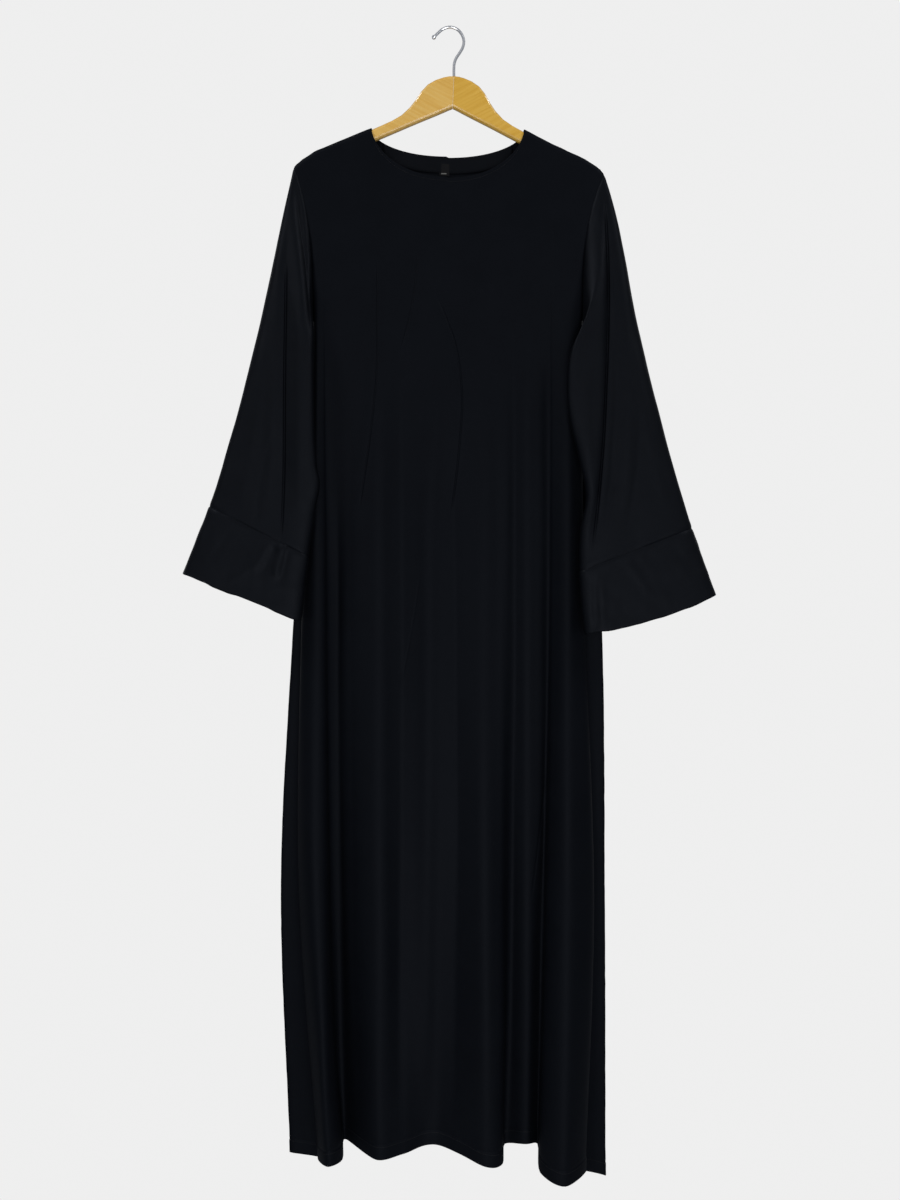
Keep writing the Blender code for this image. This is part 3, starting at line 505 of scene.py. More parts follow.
def dress_panel(sheet, normals, lines, seed):
    """Presses ripples, creases, seams and the hem into a panel."""
    x, z = sheet[:, :, 0], sheet[:, :, 2]
    drop = rows_v[:, None] * LENGTH
    height = hanging_ripples(x, z, seed) * smooth_step(10.0, 260.0, drop)
    height += creases(x, z, lines) * smooth_step(20.0, 90.0, drop)
    for last in (False, True):
        height += seam_dip(edge_distance(sheet, 1, last), z, seed + 5 + last)
    top = edge_distance(sheet, 0, False)
    on_shoulder = np.abs(sheet[0, :, 0] - NECK_CENTRE_X) > NECK_HALF_WIDTH - 0.02
    height += seam_dip(top, x, seed + 7) * on_shoulder[None, :]
    hem = LENGTH - drop + x * 0.0
    height += -0.5 * np.exp(-(((hem - HEM_TURN) / 1.8) ** 2))
    height += 0.35 * soft_noise(x / 9.0, hem * 0.0, seed + 9) * np.exp(-(((hem - HEM_TURN) / 9.0) ** 2))
    height += 0.8 * soft_noise(x / 23.0, hem / 60.0, seed + 10) * smooth_step(60.0, 0.0, hem)
    edge_near = np.minimum(edge_distance(sheet, 1, False), edge_distance(sheet, 1, True))
    off_armpit = np.abs(drop - ARMHOLE_DEPTH - 10.0)
    height *= 1.0 - smooth_step(20.0, 5.0, edge_near) * smooth_step(60.0, 25.0, off_armpit)
    return sheet + normals * height[:, :, None]


front_out = panel_normals(-1)
back_out = panel_normals(1)
FRONT_SEED, BACK_SEED = 11, 41
front = dress_panel(front, front_out, FRONT_CREASES, FRONT_SEED)
back = dress_panel(back, back_out, BACK_CREASES, BACK_SEED)
for edge in (0, -1):
    low = slice(ARMPIT_ROW, None)
    seam = (front[low, edge] + back[low, edge]) / 2.0
    front[low, edge] = seam
    back[low, edge] = seam
front_out = panel_normals(-1)
back_out = panel_normals(1)


RIM_SHARE = 0.4  # how far a rounded edge stands out, as a share of the cloth's thickness


def mesh_object(name, points, faces, finish, spots=None):
    """A smooth object with its normals outward, from points and UV spots in millimetres."""
    mesh = bpy.data.meshes.new(name)
    mesh.from_pydata((points * MM).tolist(), [], faces)
    if spots is not None:
        layer = mesh.uv_layers.new(name="cloth")
        layer.data.foreach_set("uv", (spots * MM).astype(np.float32).reshape(-1))
    shape = bmesh.new()
    shape.from_mesh(mesh)
    bmesh.ops.recalc_face_normals(shape, faces=shape.faces)
    if shape.calc_volume(signed=True) < 0.0:
        bmesh.ops.reverse_faces(shape, faces=shape.faces)
    shape.to_mesh(mesh)
    shape.free()
    mesh.shade_smooth()
    mesh.materials.append(finish)
    made = bpy.data.objects.new(name, mesh)
    bpy.context.collection.objects.link(made)
    return made


def cells(upper, lower):
    """Faces between two rows of point numbers."""
    return np.stack([upper[:-1], lower[:-1], lower[1:], upper[1:]], axis=1)


def cloth_wall(name, sheet, normals, thickness, finish, tube=False):
    """A closed cloth wall with rounded edges, from points in millimetres, with a UV map in metres."""
    rows, cols = sheet.shape[:2]
    half = np.broadcast_to(np.asarray(thickness, float) / 2.0, (rows, cols))[:, :, None]
    outer = sheet + normals * half
    inner = sheet - normals * half
    rim = RIM_SHARE * 2.0 * half
    top = sheet[0] + unit(sheet[0] - sheet[1]) * rim[0]
    low = sheet[-1] + unit(sheet[-1] - sheet[-2]) * rim[-1]
    left = sheet[:, 0] + unit(sheet[:, 0] - sheet[:, 1]) * rim[:, 0]
    right = sheet[:, -1] + unit(sheet[:, -1] - sheet[:, -2]) * rim[:, -1]
    parts = [outer.reshape(-1, 3), inner.reshape(-1, 3), top, low]
    if not tube:
        parts += [left, right]
    starts = np.cumsum([0] + [len(part) for part in parts])
    points = np.concatenate(parts)
    grid = np.arange(rows * cols).reshape(rows, cols)
    if tube:
        grid = np.concatenate([grid, grid[:, :1]], axis=1)
    wide = grid.shape[1]
    down = np.concatenate([cells(grid[i], grid[i + 1]) for i in range(rows - 1)])
    inside = grid + starts[1]
    wrap = np.append(np.arange(cols), 0) if tube else np.arange(cols)
    top_line, low_line = wrap + starts[2], wrap + starts[3]
    faces = [down, down[:, ::-1] + starts[1]]
    faces += [cells(top_line, grid[0]), cells(inside[0], top_line)]
    faces += [cells(grid[-1], low_line), cells(low_line, inside[-1])]
    if not tube:
        left_line = np.arange(rows) + starts[4]
        right_line = np.arange(rows) + starts[5]
        faces += [cells(left_line, grid[:, 0])[:, ::-1], cells(inside[:, 0], left_line)[:, ::-1]]
        faces += [cells(grid[:, -1], right_line)[:, ::-1], cells(right_line, inside[:, -1])[:, ::-1]]
        for i, line in ((0, top_line), (-1, low_line)):
            faces.append([[grid[i, 0], line[0], inside[i, 0], left_line[i]]])
            faces.append([[grid[i, -1], right_line[i], inside[i, -1], line[-1]]])
    faces = np.concatenate([np.asarray(block) for block in faces])
    across = edge_distance(np.concatenate([sheet, sheet[:, :1]], axis=1) if tube else sheet, 1, False)
    across = across.mean(axis=0)
    along = edge_distance(sheet, 0, False)
    if tube:
        along = np.concatenate([along, along[:, :1]], axis=1)
    spots = np.stack([np.broadcast_to(across[None, :], (rows, wide)), along], axis=2).reshape(-1, 2)
    flat_grid = np.arange(rows * wide).reshape(rows, wide)
    uv_down = np.concatenate([cells(flat_grid[i], flat_grid[i + 1]) for i in range(rows - 1)])
    top_uv = cells(flat_grid[0], flat_grid[0])
    low_uv = cells(flat_grid[-1], flat_grid[-1])
    uv_faces = [uv_down, uv_down[:, ::-1], top_uv, top_uv, low_uv, low_uv]
    if not tube:
        left_uv = cells(flat_grid[:, 0], flat_grid[:, 0])[:, ::-1]
        right_uv = cells(flat_grid[:, -1], flat_grid[:, -1])[:, ::-1]
        uv_faces += [left_uv, left_uv, right_uv, right_uv]
        for i in (0, -1):
            uv_faces += [np.full((1, 4), flat_grid[i, 0]), np.full((1, 4), flat_grid[i, -1])]
    corners = np.concatenate(uv_faces).reshape(-1)
    return mesh_object(name, points, faces.tolist(), finish, spots[corners])


def add_math(tree, operation, *values):
    """A math node's result from numbers and sockets."""
    node = tree.nodes.new("ShaderNodeMath")
    node.operation = operation
    for socket, value in zip(node.inputs, values):
        if isinstance(value, float):
            socket.default_value = value
        else:
            tree.links.new(value, socket)
    return node.outputs[0]


def crease_lines(tree, lines):
    """Height in millimetres of narrow creases: x and z points, width and height of each."""
    apart = object_texture(tree, "ShaderNodeSeparateXYZ")
    total = None
    for points, width, height in lines:
        line = np.array(points, float)
        low_x, high_x = line[:, 0].min() - 1.0, line[:, 0].max() + 1.0
        low_z, high_z = line[:, 1].min(), line[:, 1].max()
        down = add_node(tree, "ShaderNodeMapRange", From_Min=high_z * MM, From_Max=low_z * MM)
        tree.links.new(apart.outputs["Z"], down.inputs["Value"])
        route = tree.nodes.new("ShaderNodeFloatCurve")
        shares_down = (high_z - line[:, 1]) / (high_z - low_z)
        shares = np.column_stack([shares_down, (line[:, 0] - low_x) / (high_x - low_x)])
        route.mapping.curves[0].points[0].location = shares[0]
        route.mapping.curves[0].points[1].location = shares[-1]
        for share in shares[1:-1]:
            route.mapping.curves[0].points.new(*share)
        route.mapping.update()
        tree.links.new(down.outputs["Result"], route.inputs["Value"])
        middle = add_node(tree, "ShaderNodeMapRange", To_Min=low_x * MM, To_Max=high_x * MM)
        tree.links.new(route.outputs[0], middle.inputs["Value"])
        aside = add_math(tree, "SUBTRACT", apart.outputs["X"], middle.outputs["Result"])
        off = add_math(tree, "ABSOLUTE", aside)
        near = add_node(tree, "ShaderNodeMapRange", From_Max=width * MM, To_Min=height, To_Max=0.0)
        near.interpolation_type = "SMOOTHSTEP"
        tree.links.new(off, near.inputs["Value"])
        rest = add_math(tree, "SUBTRACT", 1.0, down.outputs["Result"])
        ends = add_math(tree, "MULTIPLY", down.outputs["Result"], rest)
        fade = add_node(tree, "ShaderNodeMapRange", From_Max=0.1)
        fade.interpolation_type = "SMOOTHSTEP"
        tree.links.new(ends, fade.inputs["Value"])
        one = add_math(tree, "MULTIPLY", near.outputs["Result"], fade.outputs["Result"])
        total = one if total is None else add_math(tree, "ADD", total, one)
    return total


SHEEN_TINT = (0.76, 0.83, 1.0, 1.0)
CLOUD_DARK, CLOUD_PALE = 0.92, 1.09  # how much the cloudy shade varies
FLECK_DARK, FLECK_PALE = 0.72, 1.25  # and how much the pebbles do
ROUGH_RANGE = 0.07
THREADS_ACROSS, THREADS_DOWN, PEBBLES = 1250.0, 1100.0, 1500.0  # for each metre
WEAVE_DEPTH, PEBBLE_DEPTH = 0.0002, 0.0003


def crepe(name, base, roughness, gloss, creased=()):
    """Dull black crepe: a pebbly weave, a faint cloudy shade, little gloss and any fine creases."""
    made, tree, shader = new_material(name, base, roughness)
    shader.inputs["Specular IOR Level"].default_value = gloss
    shader.inputs["Specular Tint"].default_value = SHEEN_TINT
    thread = tree.nodes.new("ShaderNodeUVMap")
    thread.uv_map = "cloth"
    pebble = object_texture(tree, "ShaderNodeTexNoise", Scale=PEBBLES, Detail=2.0, Roughness=0.6)
    weave_scale = add_node(tree, "ShaderNodeMapping", Scale=(THREADS_ACROSS, THREADS_DOWN, 1.0))
    tree.links.new(thread.outputs["UV"], weave_scale.inputs["Vector"])
    weave = add_node(tree, "ShaderNodeTexVoronoi", Scale=1.0, Randomness=0.55)
    tree.links.new(weave_scale.outputs["Vector"], weave.inputs["Vector"])
    cloud = object_texture(tree, "ShaderNodeTexNoise", Scale=24.0, Detail=4.0, Roughness=0.55)
    low, high = (tuple(channel * share for channel in base) for share in (CLOUD_DARK, CLOUD_PALE))
    shade = color_band(tree, cloud.outputs["Fac"], ((0.3, low), (0.5, base), (0.72, high)))
    fleck = color_band(tree, pebble.outputs["Fac"], ((0.3, (FLECK_DARK,) * 3), (0.7, (FLECK_PALE,) * 3)))
    mixed = tree.nodes.new("ShaderNodeMix")
    mixed.data_type = "RGBA"
    mixed.blend_type = "MULTIPLY"
    mixed.inputs["Factor"].default_value = 1.0
    tree.links.new(shade, mixed.inputs[6])
    tree.links.new(fleck, mixed.inputs[7])
    tree.links.new(mixed.outputs[2], shader.inputs["Base Color"])
    vary_roughness(tree, shader, cloud.outputs["Fac"], roughness - ROUGH_RANGE, roughness + ROUGH_RANGE)
    grain = add_bump(tree, shader, pebble.outputs["Fac"], 0.35, PEBBLE_DEPTH)
    woven = add_bump(tree, shader, weave.outputs["Distance"], 0.3, WEAVE_DEPTH, grain)
    if creased:
        add_bump(tree, shader, crease_lines(tree, creased), 1.0, MM, woven)
    return made


FINE_CREASES = (
    (((-102, -312), (-102.5, -400), (-102.7, -478), (-106, -520), (-109.7, -554), (-128, -678)), 1.9, -0.95),
    (((-46, -316), (-48, -345), (-54, -388), (-62, -424), (-70, -452)), 1.9, -0.9),
    (((-22, -372), (-4, -413), (9, -455), (14.5, -494), (15.8, -526), (12.8, -577), (0, -684)), 2.0, -1.05),
    (((-42, -760), (-56, -850), (-72, -930)), 2.6, -0.25),
    (((140, -980), (128, -1090), (112, -1220)), 2.6, -0.3),
)
SLEEVE_FINE_CREASES = (
    (((-227, -330), (-227.5, -400), (-228.5, -487), (-229, -619), (-233, -722)), 2.6, -2.3),
    (((212.6, -238), (216, -300), (217.6, -356), (212.6, -531), (206.6, -619), (193.3, -736)), 2.6, -2.3),
)
# The sleeves and cuffs are the same crepe as the body. Their copy gets its own darker base colour and more
# gloss as painted light, to set how bright they look beside the body.
CREPE, SLEEVE_PAINTED_LIGHT_CREPE = (0.0030, 0.0037, 0.0054), (0.0019, 0.0024, 0.0035)
black_crepe = crepe("black_crepe", CREPE, 0.54, 0.078)
creased_crepe = crepe("black_crepe_front", CREPE, 0.54, 0.078, FINE_CREASES)
sleeve_painted_light_crepe = crepe("black_crepe_sleeve_painted_light", SLEEVE_PAINTED_LIGHT_CREPE, 0.50, 0.135, SLEEVE_FINE_CREASES)
hem_share = smooth_step(HEM_TURN + 0.6, HEM_TURN - 0.6, (1.0 - rows_v) * LENGTH)


def panel_thickness(sheet):
    """Single cloth, double at the turned hem and at the neck's band."""
    band = edge_distance(sheet, 0, False)
    in_neck = np.abs(sheet[0, :, 0] - NECK_CENTRE_X) < NECK_HALF_WIDTH
    neck_share = smooth_step(NECK_BAND + 0.8, NECK_BAND - 0.8, band) * in_neck[None, :]
    return CLOTH * (1.0 + HEM_EXTRA * hem_share[:, None] + NECK_EXTRA * neck_share)


front_piece = cloth_wall("front_cloth", front, front_out, panel_thickness(front), creased_crepe)
back_piece = cloth_wall("back_cloth", back, back_out, panel_thickness(back), black_crepe)
for piece, node_name in ((front_piece, "front_panel"), (back_piece, "back_panel")):
    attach(piece, "root")
    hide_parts(node_name)


# Back neck facing and label
# A straight strip of the same cloth, sewn inside the back neck to cover its seam, and a small plain
# woven label under it. The label is bare apart from one pale generic bar.

FACING_ROWS = 9
FACING_FROM_X, FACING_TO_X = -99.0, 92.0
FACING_THICK = 1.0
FACING_GAP = 0.1
FACING_BLACK = (0.0038, 0.0043, 0.0056)
facing_columns = np.where((back[0, :, 0] > FACING_FROM_X) & (back[0, :, 0] < FACING_TO_X))[0]
facing_offset = CLOTH * 0.75 + FACING_THICK / 2.0 + FACING_GAP
facing_out = back_out[:FACING_ROWS, facing_columns]
facing_sheet = back[:FACING_ROWS, facing_columns] - facing_out * facing_offset
facing_cloth = crepe("black_facing", FACING_BLACK, 0.6, 0.07)
facing_piece = cloth_wall("neck_facing_cloth", facing_sheet, facing_out, FACING_THICK, facing_cloth)
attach(facing_piece, "root")
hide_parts("neck_facing")

LABEL_DARK, LABEL_PALE = (0.002, 0.002, 0.003), (0.005, 0.005, 0.006)
BAR_COLOR = (0.17, 0.17, 0.16, 1.0)
# The sides of the pale bar: the axis, the test that is inside, and the place in metres
LABEL_BAR = (
    ("X", "GREATER_THAN", -0.0135),
    ("X", "LESS_THAN", -0.0060),
    ("Z", "GREATER_THAN", -0.2024),
    ("Z", "LESS_THAN", -0.2008),
)
label_satin, label_tree, label_shader = new_material("label_satin", (0.003, 0.003, 0.004), 0.5)
label_shader.inputs["Specular IOR Level"].default_value = 0.14
label_rib = object_texture(label_tree, "ShaderNodeTexWave", Scale=900.0, Distortion=0.6)
label_color = color_band(label_tree, label_rib.outputs["Fac"], ((0.0, LABEL_DARK), (1.0, LABEL_PALE)))
label_apart = object_texture(label_tree, "ShaderNodeSeparateXYZ")
label_bar = 1.0
for axis, test, edge in LABEL_BAR:
    inside = add_math(label_tree, test, label_apart.outputs[axis], edge)
    label_bar = add_math(label_tree, "MULTIPLY", label_bar, inside)
label_mix = label_tree.nodes.new("ShaderNodeMix")
label_mix.data_type = "RGBA"
label_tree.links.new(label_bar, label_mix.inputs["Factor"])
label_tree.links.new(label_color, label_mix.inputs[6])
label_mix.inputs[7].default_value = BAR_COLOR
label_tree.links.new(label_mix.outputs[2], label_shader.inputs["Base Color"])
add_bump(label_tree, label_shader, label_rib.outputs["Fac"], 0.3, 0.0002)
give_finish("neck_label", label_satin)


# Sleeves
# Each sleeve is one flared tube of the same crepe with a seam under the arm, eased into the armhole.
# They hang nearly flat, with a long fold down the front from the shoulder to the cuff.

# Each row: t, outer x, y, z, inner x, y, z, half depth
SLEEVE_LEFT = (
    (0.0, -217, -16, -203, -193, -7, -407, 10),
    (0.06, -222, -17, -224, -191, -21, -419, 11),
    (0.12, -229, -18, -255, -189, -34, -436, 12),
    (0.2, -240, -19, -308, -189, -38, -462, 12),
    (0.35, -260, -20, -400, -188.5, -39, -520, 12),
    (0.5, -280, -21, -482, -187.5, -39, -575, 12),
    (0.62, -296, -22, -545, -184.5, -39, -617, 12),
    (0.72, -309, -22, -590, -180.5, -39, -641, 12),
    (0.85, -321, -23, -632, -187.5, -39, -680, 13),
    (1.0, -333.8, -24, -671, -195.8, -40, -740, 13),
)
SLEEVE_RIGHT = (
    (0.0, 213, -16, -214, 185, -7, -407, 10),
    (0.06, 220, -17, -234, 183, -20, -418, 11),
    (0.12, 229, -18, -268, 182, -33, -432, 12),
    (0.2, 238, -19, -315, 168, -40, -450, 12),
    (0.35, 256, -20, -408, 160, -41, -500, 12),
    (0.5, 275, -21, -492, 164, -41, -555, 12),
    (0.62, 290, -22, -548, 176, -41, -604, 12),
    (0.72, 303, -22, -597, 187, -41, -655, 12),
    (0.85, 318, -23, -650, 178, -41, -706, 13),
    (1.0, 333.5, -24, -701, 177, -41, -761, 13),
)
RING_ENDS = 8.0  # how square the flat tube is at its two edges
ARMHOLE_BLEND = 0.22  # share of the sleeve that turns from the armhole's loop to the flat tube
SLEEVE_STEP, SLEEVE_LENGTH = 4.6, 560.0
SLEEVE_END_TIMES = (0.002, 0.005, 0.992, 0.997)
NARROW_TROUGH = 6.0  # a trough below this width starts nearer to the shoulder
TUBE_OFFSET = 300.0  # keeps the noise of a tube's front apart from that of its back
# Each trough: line of x and z, width, depth
TROUGHS_LEFT = (
    (((-222, -215), (-227, -334), (-228, -487), (-229, -619), (-234, -735)), 11.0, 5.0),
    (((-216, -212), (-210, -265), (-201, -331), (-195, -400), (-190, -450)), 4.0, 5.0),
)
TROUGHS_RIGHT = (
    (((213, -225), (217, -356), (212.6, -531), (206.6, -619), (193, -730), (188, -765)), 4.5, 5.0),
    (((217, -235), (226, -399), (228, -531), (219.5, -641), (201, -735)), 11.0, 5.5),
)
SLEEVE_CREASES_LEFT = (
    (((-222, -205), (-236, -330), (-244, -520), (-250, -700)), 7.0, 1.5),
    (((-205, -330), (-206, -480), (-208, -700)), 8.0, 1.6),
    (((-256, -420), (-270, -560), (-292, -690)), 9.0, 1.3),
    (((-240, -560), (-262, -640), (-268, -712)), 4.0, -1.0),
)
SLEEVE_CREASES_RIGHT = (
    (((222, -215), (238, -340), (246, -520), (240, -720)), 8.0, 1.6),
    (((192, -430), (186, -520), (190, -640), (184, -745)), 8.0, 1.4),
    (((252, -420), (272, -560), (300, -690)), 9.0, 1.2),
    (((262, -520), (256, -620), (238, -715)), 5.0, -1.1),
)


def edge_lines(table, t):
    """The outer edge, the inner edge and the half depth of the flat tube at t."""
    rows = np.array(table, float)
    read = [float(curve(rows[:, 0], rows[:, k], t)) for k in range(1, 8)]
    return np.array(read[:3]), np.array(read[3:6]), read[6]


ring_drops = armhole_drops / armhole_drops[-1]
ring_shares = np.concatenate([ring_drops, ring_drops[-2:0:-1]])
ring_sides = np.concatenate([[0.0], -np.ones(len(ring_drops) - 2), [0.0], np.ones(len(ring_drops) - 2)])


def flat_ring(table, t, sag=0.0):
    """One flat oval ring of the tube at t, whose middle hangs lower by the sag."""
    outer, inner, half = edge_lines(table, t)
    depth = half * np.sqrt(np.clip(1.0 - np.abs(2.0 * ring_shares - 1.0) ** RING_ENDS, 0.0, 1.0))
    ring = outer + (inner - outer) * ring_shares[:, None]
    ring[:, 1] += ring_sides * depth
    ring[:, 2] -= sag * np.sin(pi * ring_shares) * t
    return ring


def sleeve_rings(table, armhole, times):
    """The sleeve's tube, from the armhole's own loop to the flat ring at the cuff."""
    shares = ring_shares[:, None]
    top_out, top_in, _ = edge_lines(table, 0.0)
    rings = []
    for t in times:
        outer, inner, _ = edge_lines(table, t)
        carried = armhole + (outer - top_out) * (1.0 - shares) + (inner - top_in) * shares
        flat = smooth_step(0.0, ARMHOLE_BLEND, t)
        rings.append(carried * (1.0 - flat) + flat_ring(table, t) * flat)
    return np.array(rings)


def ring_normals(rings):
    """Unit normals of a tube, pointing out of it."""
    across = np.roll(rings, -1, axis=1) - np.roll(rings, 1, axis=1)
    tall = np.concatenate([(rings[0] * 2 - rings[1])[None], rings, (rings[-1] * 2 - rings[-2])[None]])
    normals = unit(np.cross(across, tall[2:] - tall[:-2]))
    outwards = np.sum((rings - rings.mean(axis=1, keepdims=True)) * normals) > 0
    return normals if outwards else -normals


def armhole_loop(on_front, on_back, edge):
    """Rows of the armhole, from the shoulder down the front, through the armpit and up the back."""
    down_front = on_front[: ARMPIT_ROW + 1, edge]
    up_back = on_back[ARMPIT_ROW - 1 : 0 : -1, edge]
    return np.concatenate([down_front, up_back])


def dress_sleeve(rings, troughs, lines, times, seed):
    """Presses troughs into the front of a sleeve, and creases, ripples and the seams all round."""
    x, z = rings[:, :, 0], rings[:, :, 2]
    front_half = (ring_sides < 0)[None, :]
    grown = smooth_step(0.0, 0.07, times)[:, None]
    grown_wide = smooth_step(0.02, 0.25, times)[:, None]
    for line, width, depth in troughs:
        start = grown if width < NARROW_TROUGH else grown_wide
        share = start * smooth_step(1.0, 0.86, ring_shares)[None, :]
        rings[:, :, 1] -= creases(x, z, ((line, width, -depth),)) * front_half * share
    normals = ring_normals(rings)
    height = hanging_ripples(x, z, seed) * grown_wide
    height += creases(x, z, lines) * grown_wide
    around = ring_shares[None, :] * ARMHOLE_DEPTH + ring_sides[None, :] * TUBE_OFFSET
    off_armpit = smooth_step(1.0, 0.8, ring_shares)[None, :]
    height += seam_dip(edge_distance(rings, 0, False), around, seed + 5) * off_armpit
    height += seam_dip(edge_distance(rings, 0, True), x, seed + 6)
    return rings + normals * height[:, :, None]


sleeve_even = np.linspace(0.0, 1.0, int(SLEEVE_LENGTH / SLEEVE_STEP))
sleeve_times = np.unique(np.concatenate([sleeve_even, SLEEVE_END_TIMES]))
sleeves = {}
for side_name, table, edge, troughs, lines, seed in (
    ("left", SLEEVE_LEFT, 0, TROUGHS_LEFT, SLEEVE_CREASES_LEFT, 71),
    ("right", SLEEVE_RIGHT, -1, TROUGHS_RIGHT, SLEEVE_CREASES_RIGHT, 91),
):
    rings = sleeve_rings(table, armhole_loop(front, back, edge), sleeve_times)
    loop = rings[0].copy()
    rings = dress_sleeve(rings, troughs, lines, sleeve_times, seed)
    rings[0] = loop
    sleeves[side_name] = rings


# Cuffs
# A deep double band of the same crepe, cut straight and sewn on below each sleeve with its seam
# turned inside. It is stiffer than the sleeve, so its lower edge stays nearly straight.

CUFF_LEFT = (
    (0.0, -333.8, -24, -671, -195.8, -40, -740, 13),
    (0.5, -351.5, -25, -717, -201.5, -41, -786, 14),
    (1.0, -369.8, -26, -764, -205.5, -42, -829, 15),
)
CUFF_RIGHT = (
    (0.0, 333.5, -24, -701, 177, -41, -761, 13),
    (0.5, 349.5, -25, -746, 179.5, -42, -803, 14),
    (1.0, 366.2, -26, -793, 184, -43, -846, 15),
)
CUFF_SAG = {"left": 0.0, "right": 9.0}
CUFF_THICK, CUFF_WIDTH = 1.6, 160.0
CUFF_TOP_TIMES, CUFF_LOW_TIMES = (0.0, 0.012, 0.03, 0.06), (0.965, 0.985, 1.0)
CUFF_CREASES = {
    "left": (
        (((-226, -720), (-236, -745), (-240, -772)), 4.5, 3.2),
        (((-218, -715), (-226, -745), (-236, -785)), 4.0, -2.4),
        (((-238, -722), (-249, -745), (-262, -770)), 4.5, -2.4),
        (((-250, -722), (-262, -748), (-272, -765)), 4.5, 1.5),
        (((-300, -700), (-318, -730), (-336, -752)), 4.0, -0.9),
        (((-262, -745), (-285, -765), (-315, -778)), 4.0, 0.9),
    ),
    "right": (
        (((196, -765), (198, -800), (199, -850)), 3.0, -3.0),
        (((204, -765), (206, -800), (207, -850)), 5.0, 1.4),
        (((240, -745), (262, -775), (275, -800)), 6.0, 1.0),
        (((300, -722), (322, -745), (340, -765)), 5.0, -0.9),
    ),
}
cuff_times = np.concatenate([CUFF_TOP_TIMES, np.linspace(0.1, 0.94, 19), CUFF_LOW_TIMES])
cuffs = {}
for side_name, table, seed in (("left", CUFF_LEFT, 121), ("right", CUFF_RIGHT, 141)):
    rings = np.array([flat_ring(table, t, CUFF_SAG[side_name]) for t in cuff_times])
    x, z = rings[:, :, 0], rings[:, :, 2]
    around = ring_shares[None, :] * CUFF_WIDTH + ring_sides[None, :] * TUBE_OFFSET
    height = 0.5 * soft_noise(around / 24.0, cuff_times[:, None] * 5.0, seed)
    height += 0.3 * soft_noise(around / 9.0, cuff_times[:, None] * 9.0, seed + 1)
    height += creases(x, z, CUFF_CREASES[side_name]) * (ring_sides < 0)[None, :]
    height += seam_dip(edge_distance(rings, 0, False), around, seed + 2)
    rings = rings + ring_normals(rings) * height[:, :, None]
    rings[-1, :, 2] += 1.2 * soft_noise(around[0] / 17.0, around[0] * 0.0, seed + 3)
    seam = (sleeves[side_name][-1] + rings[0]) / 2.0
    rings[0] = seam
    sleeves[side_name][-1] = seam
    cuffs[side_name] = rings

for side_name, edge in (("left", 0), ("right", -1)):
    sleeve_out = ring_normals(sleeves[side_name])
    cuff_out = ring_normals(cuffs[side_name])
    shared = unit(sleeve_out[-1] + cuff_out[0])
    sleeve_out[-1] = shared
    cuff_out[0] = shared
    sleeve_out[0] = unit(armhole_loop(front_out, back_out, edge) + sleeve_out[0])
    sleeve_piece = cloth_wall(
        "sleeve_cloth_" + side_name, sleeves[side_name], sleeve_out, CLOTH, sleeve_painted_light_crepe, tube=True
    )
    cuff_piece = cloth_wall(
        "cuff_cloth_" + side_name, cuffs[side_name], cuff_out, CUFF_THICK, sleeve_painted_light_crepe, tube=True
    )
    for piece, node_name in ((sleeve_piece, "sleeve_" + side_name), (cuff_piece, "cuff_" + side_name)):
        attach(piece, "root")
        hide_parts(node_name)


# Stitching
# Rows of black lockstitch in twisted polyester thread. They hold the turned hem, front and back, and
# the turned neck edge. Each stitch lies on the cloth as a short rounded bar.

STITCH_PITCH, STITCH_LONG, THREAD_RADIUS = 3.2, 2.3, 0.24
HEM_STITCH_UP, NECK_STITCH_DOWN, NECK_STITCH_END = 16.5, 5.2, 4.0
BAR_SIDES = 6
# Along a stitch: place as a share of its half length, and radius as a share of the thread's
BAR_RINGS = ((-0.9, 0.55), (-0.6, 1.0), (0.6, 1.0), (0.9, 0.55))

THREAD, THREAD_DARK, THREAD_PALE = (0.004, 0.004, 0.006), (0.003, 0.003, 0.004), (0.008, 0.008, 0.010)
thread, thread_tree, thread_shader = new_material("black_thread", THREAD, 0.45)
thread_shader.inputs["Specular IOR Level"].default_value = 0.3
thread_twist = object_texture(thread_tree, "ShaderNodeTexWave", Scale=700.0, Distortion=1.2)
thread_stops = ((0.0, THREAD_DARK), (1.0, THREAD_PALE))
thread_color = color_band(thread_tree, thread_twist.outputs["Fac"], thread_stops)
thread_tree.links.new(thread_color, thread_shader.inputs["Base Color"])
add_bump(thread_tree, thread_shader, thread_twist.outputs["Fac"], 0.4, 0.0002)


def seam_line(sheet, normals, away, last):
    """Points and normals of a line along a sheet, at a distance from its top or its bottom edge."""
    reach = edge_distance(sheet, 0, last)
    order = slice(None, None, -1) if last else slice(None)
    points = np.empty((sheet.shape[1], 3))
    out = np.empty((sheet.shape[1], 3))
    for column in range(sheet.shape[1]):
        for axis in range(3):
            points[column, axis] = np.interp(away, reach[order, column], sheet[order, column, axis])
            out[column, axis] = np.interp(away, reach[order, column], normals[order, column, axis])
    return points, unit(out)


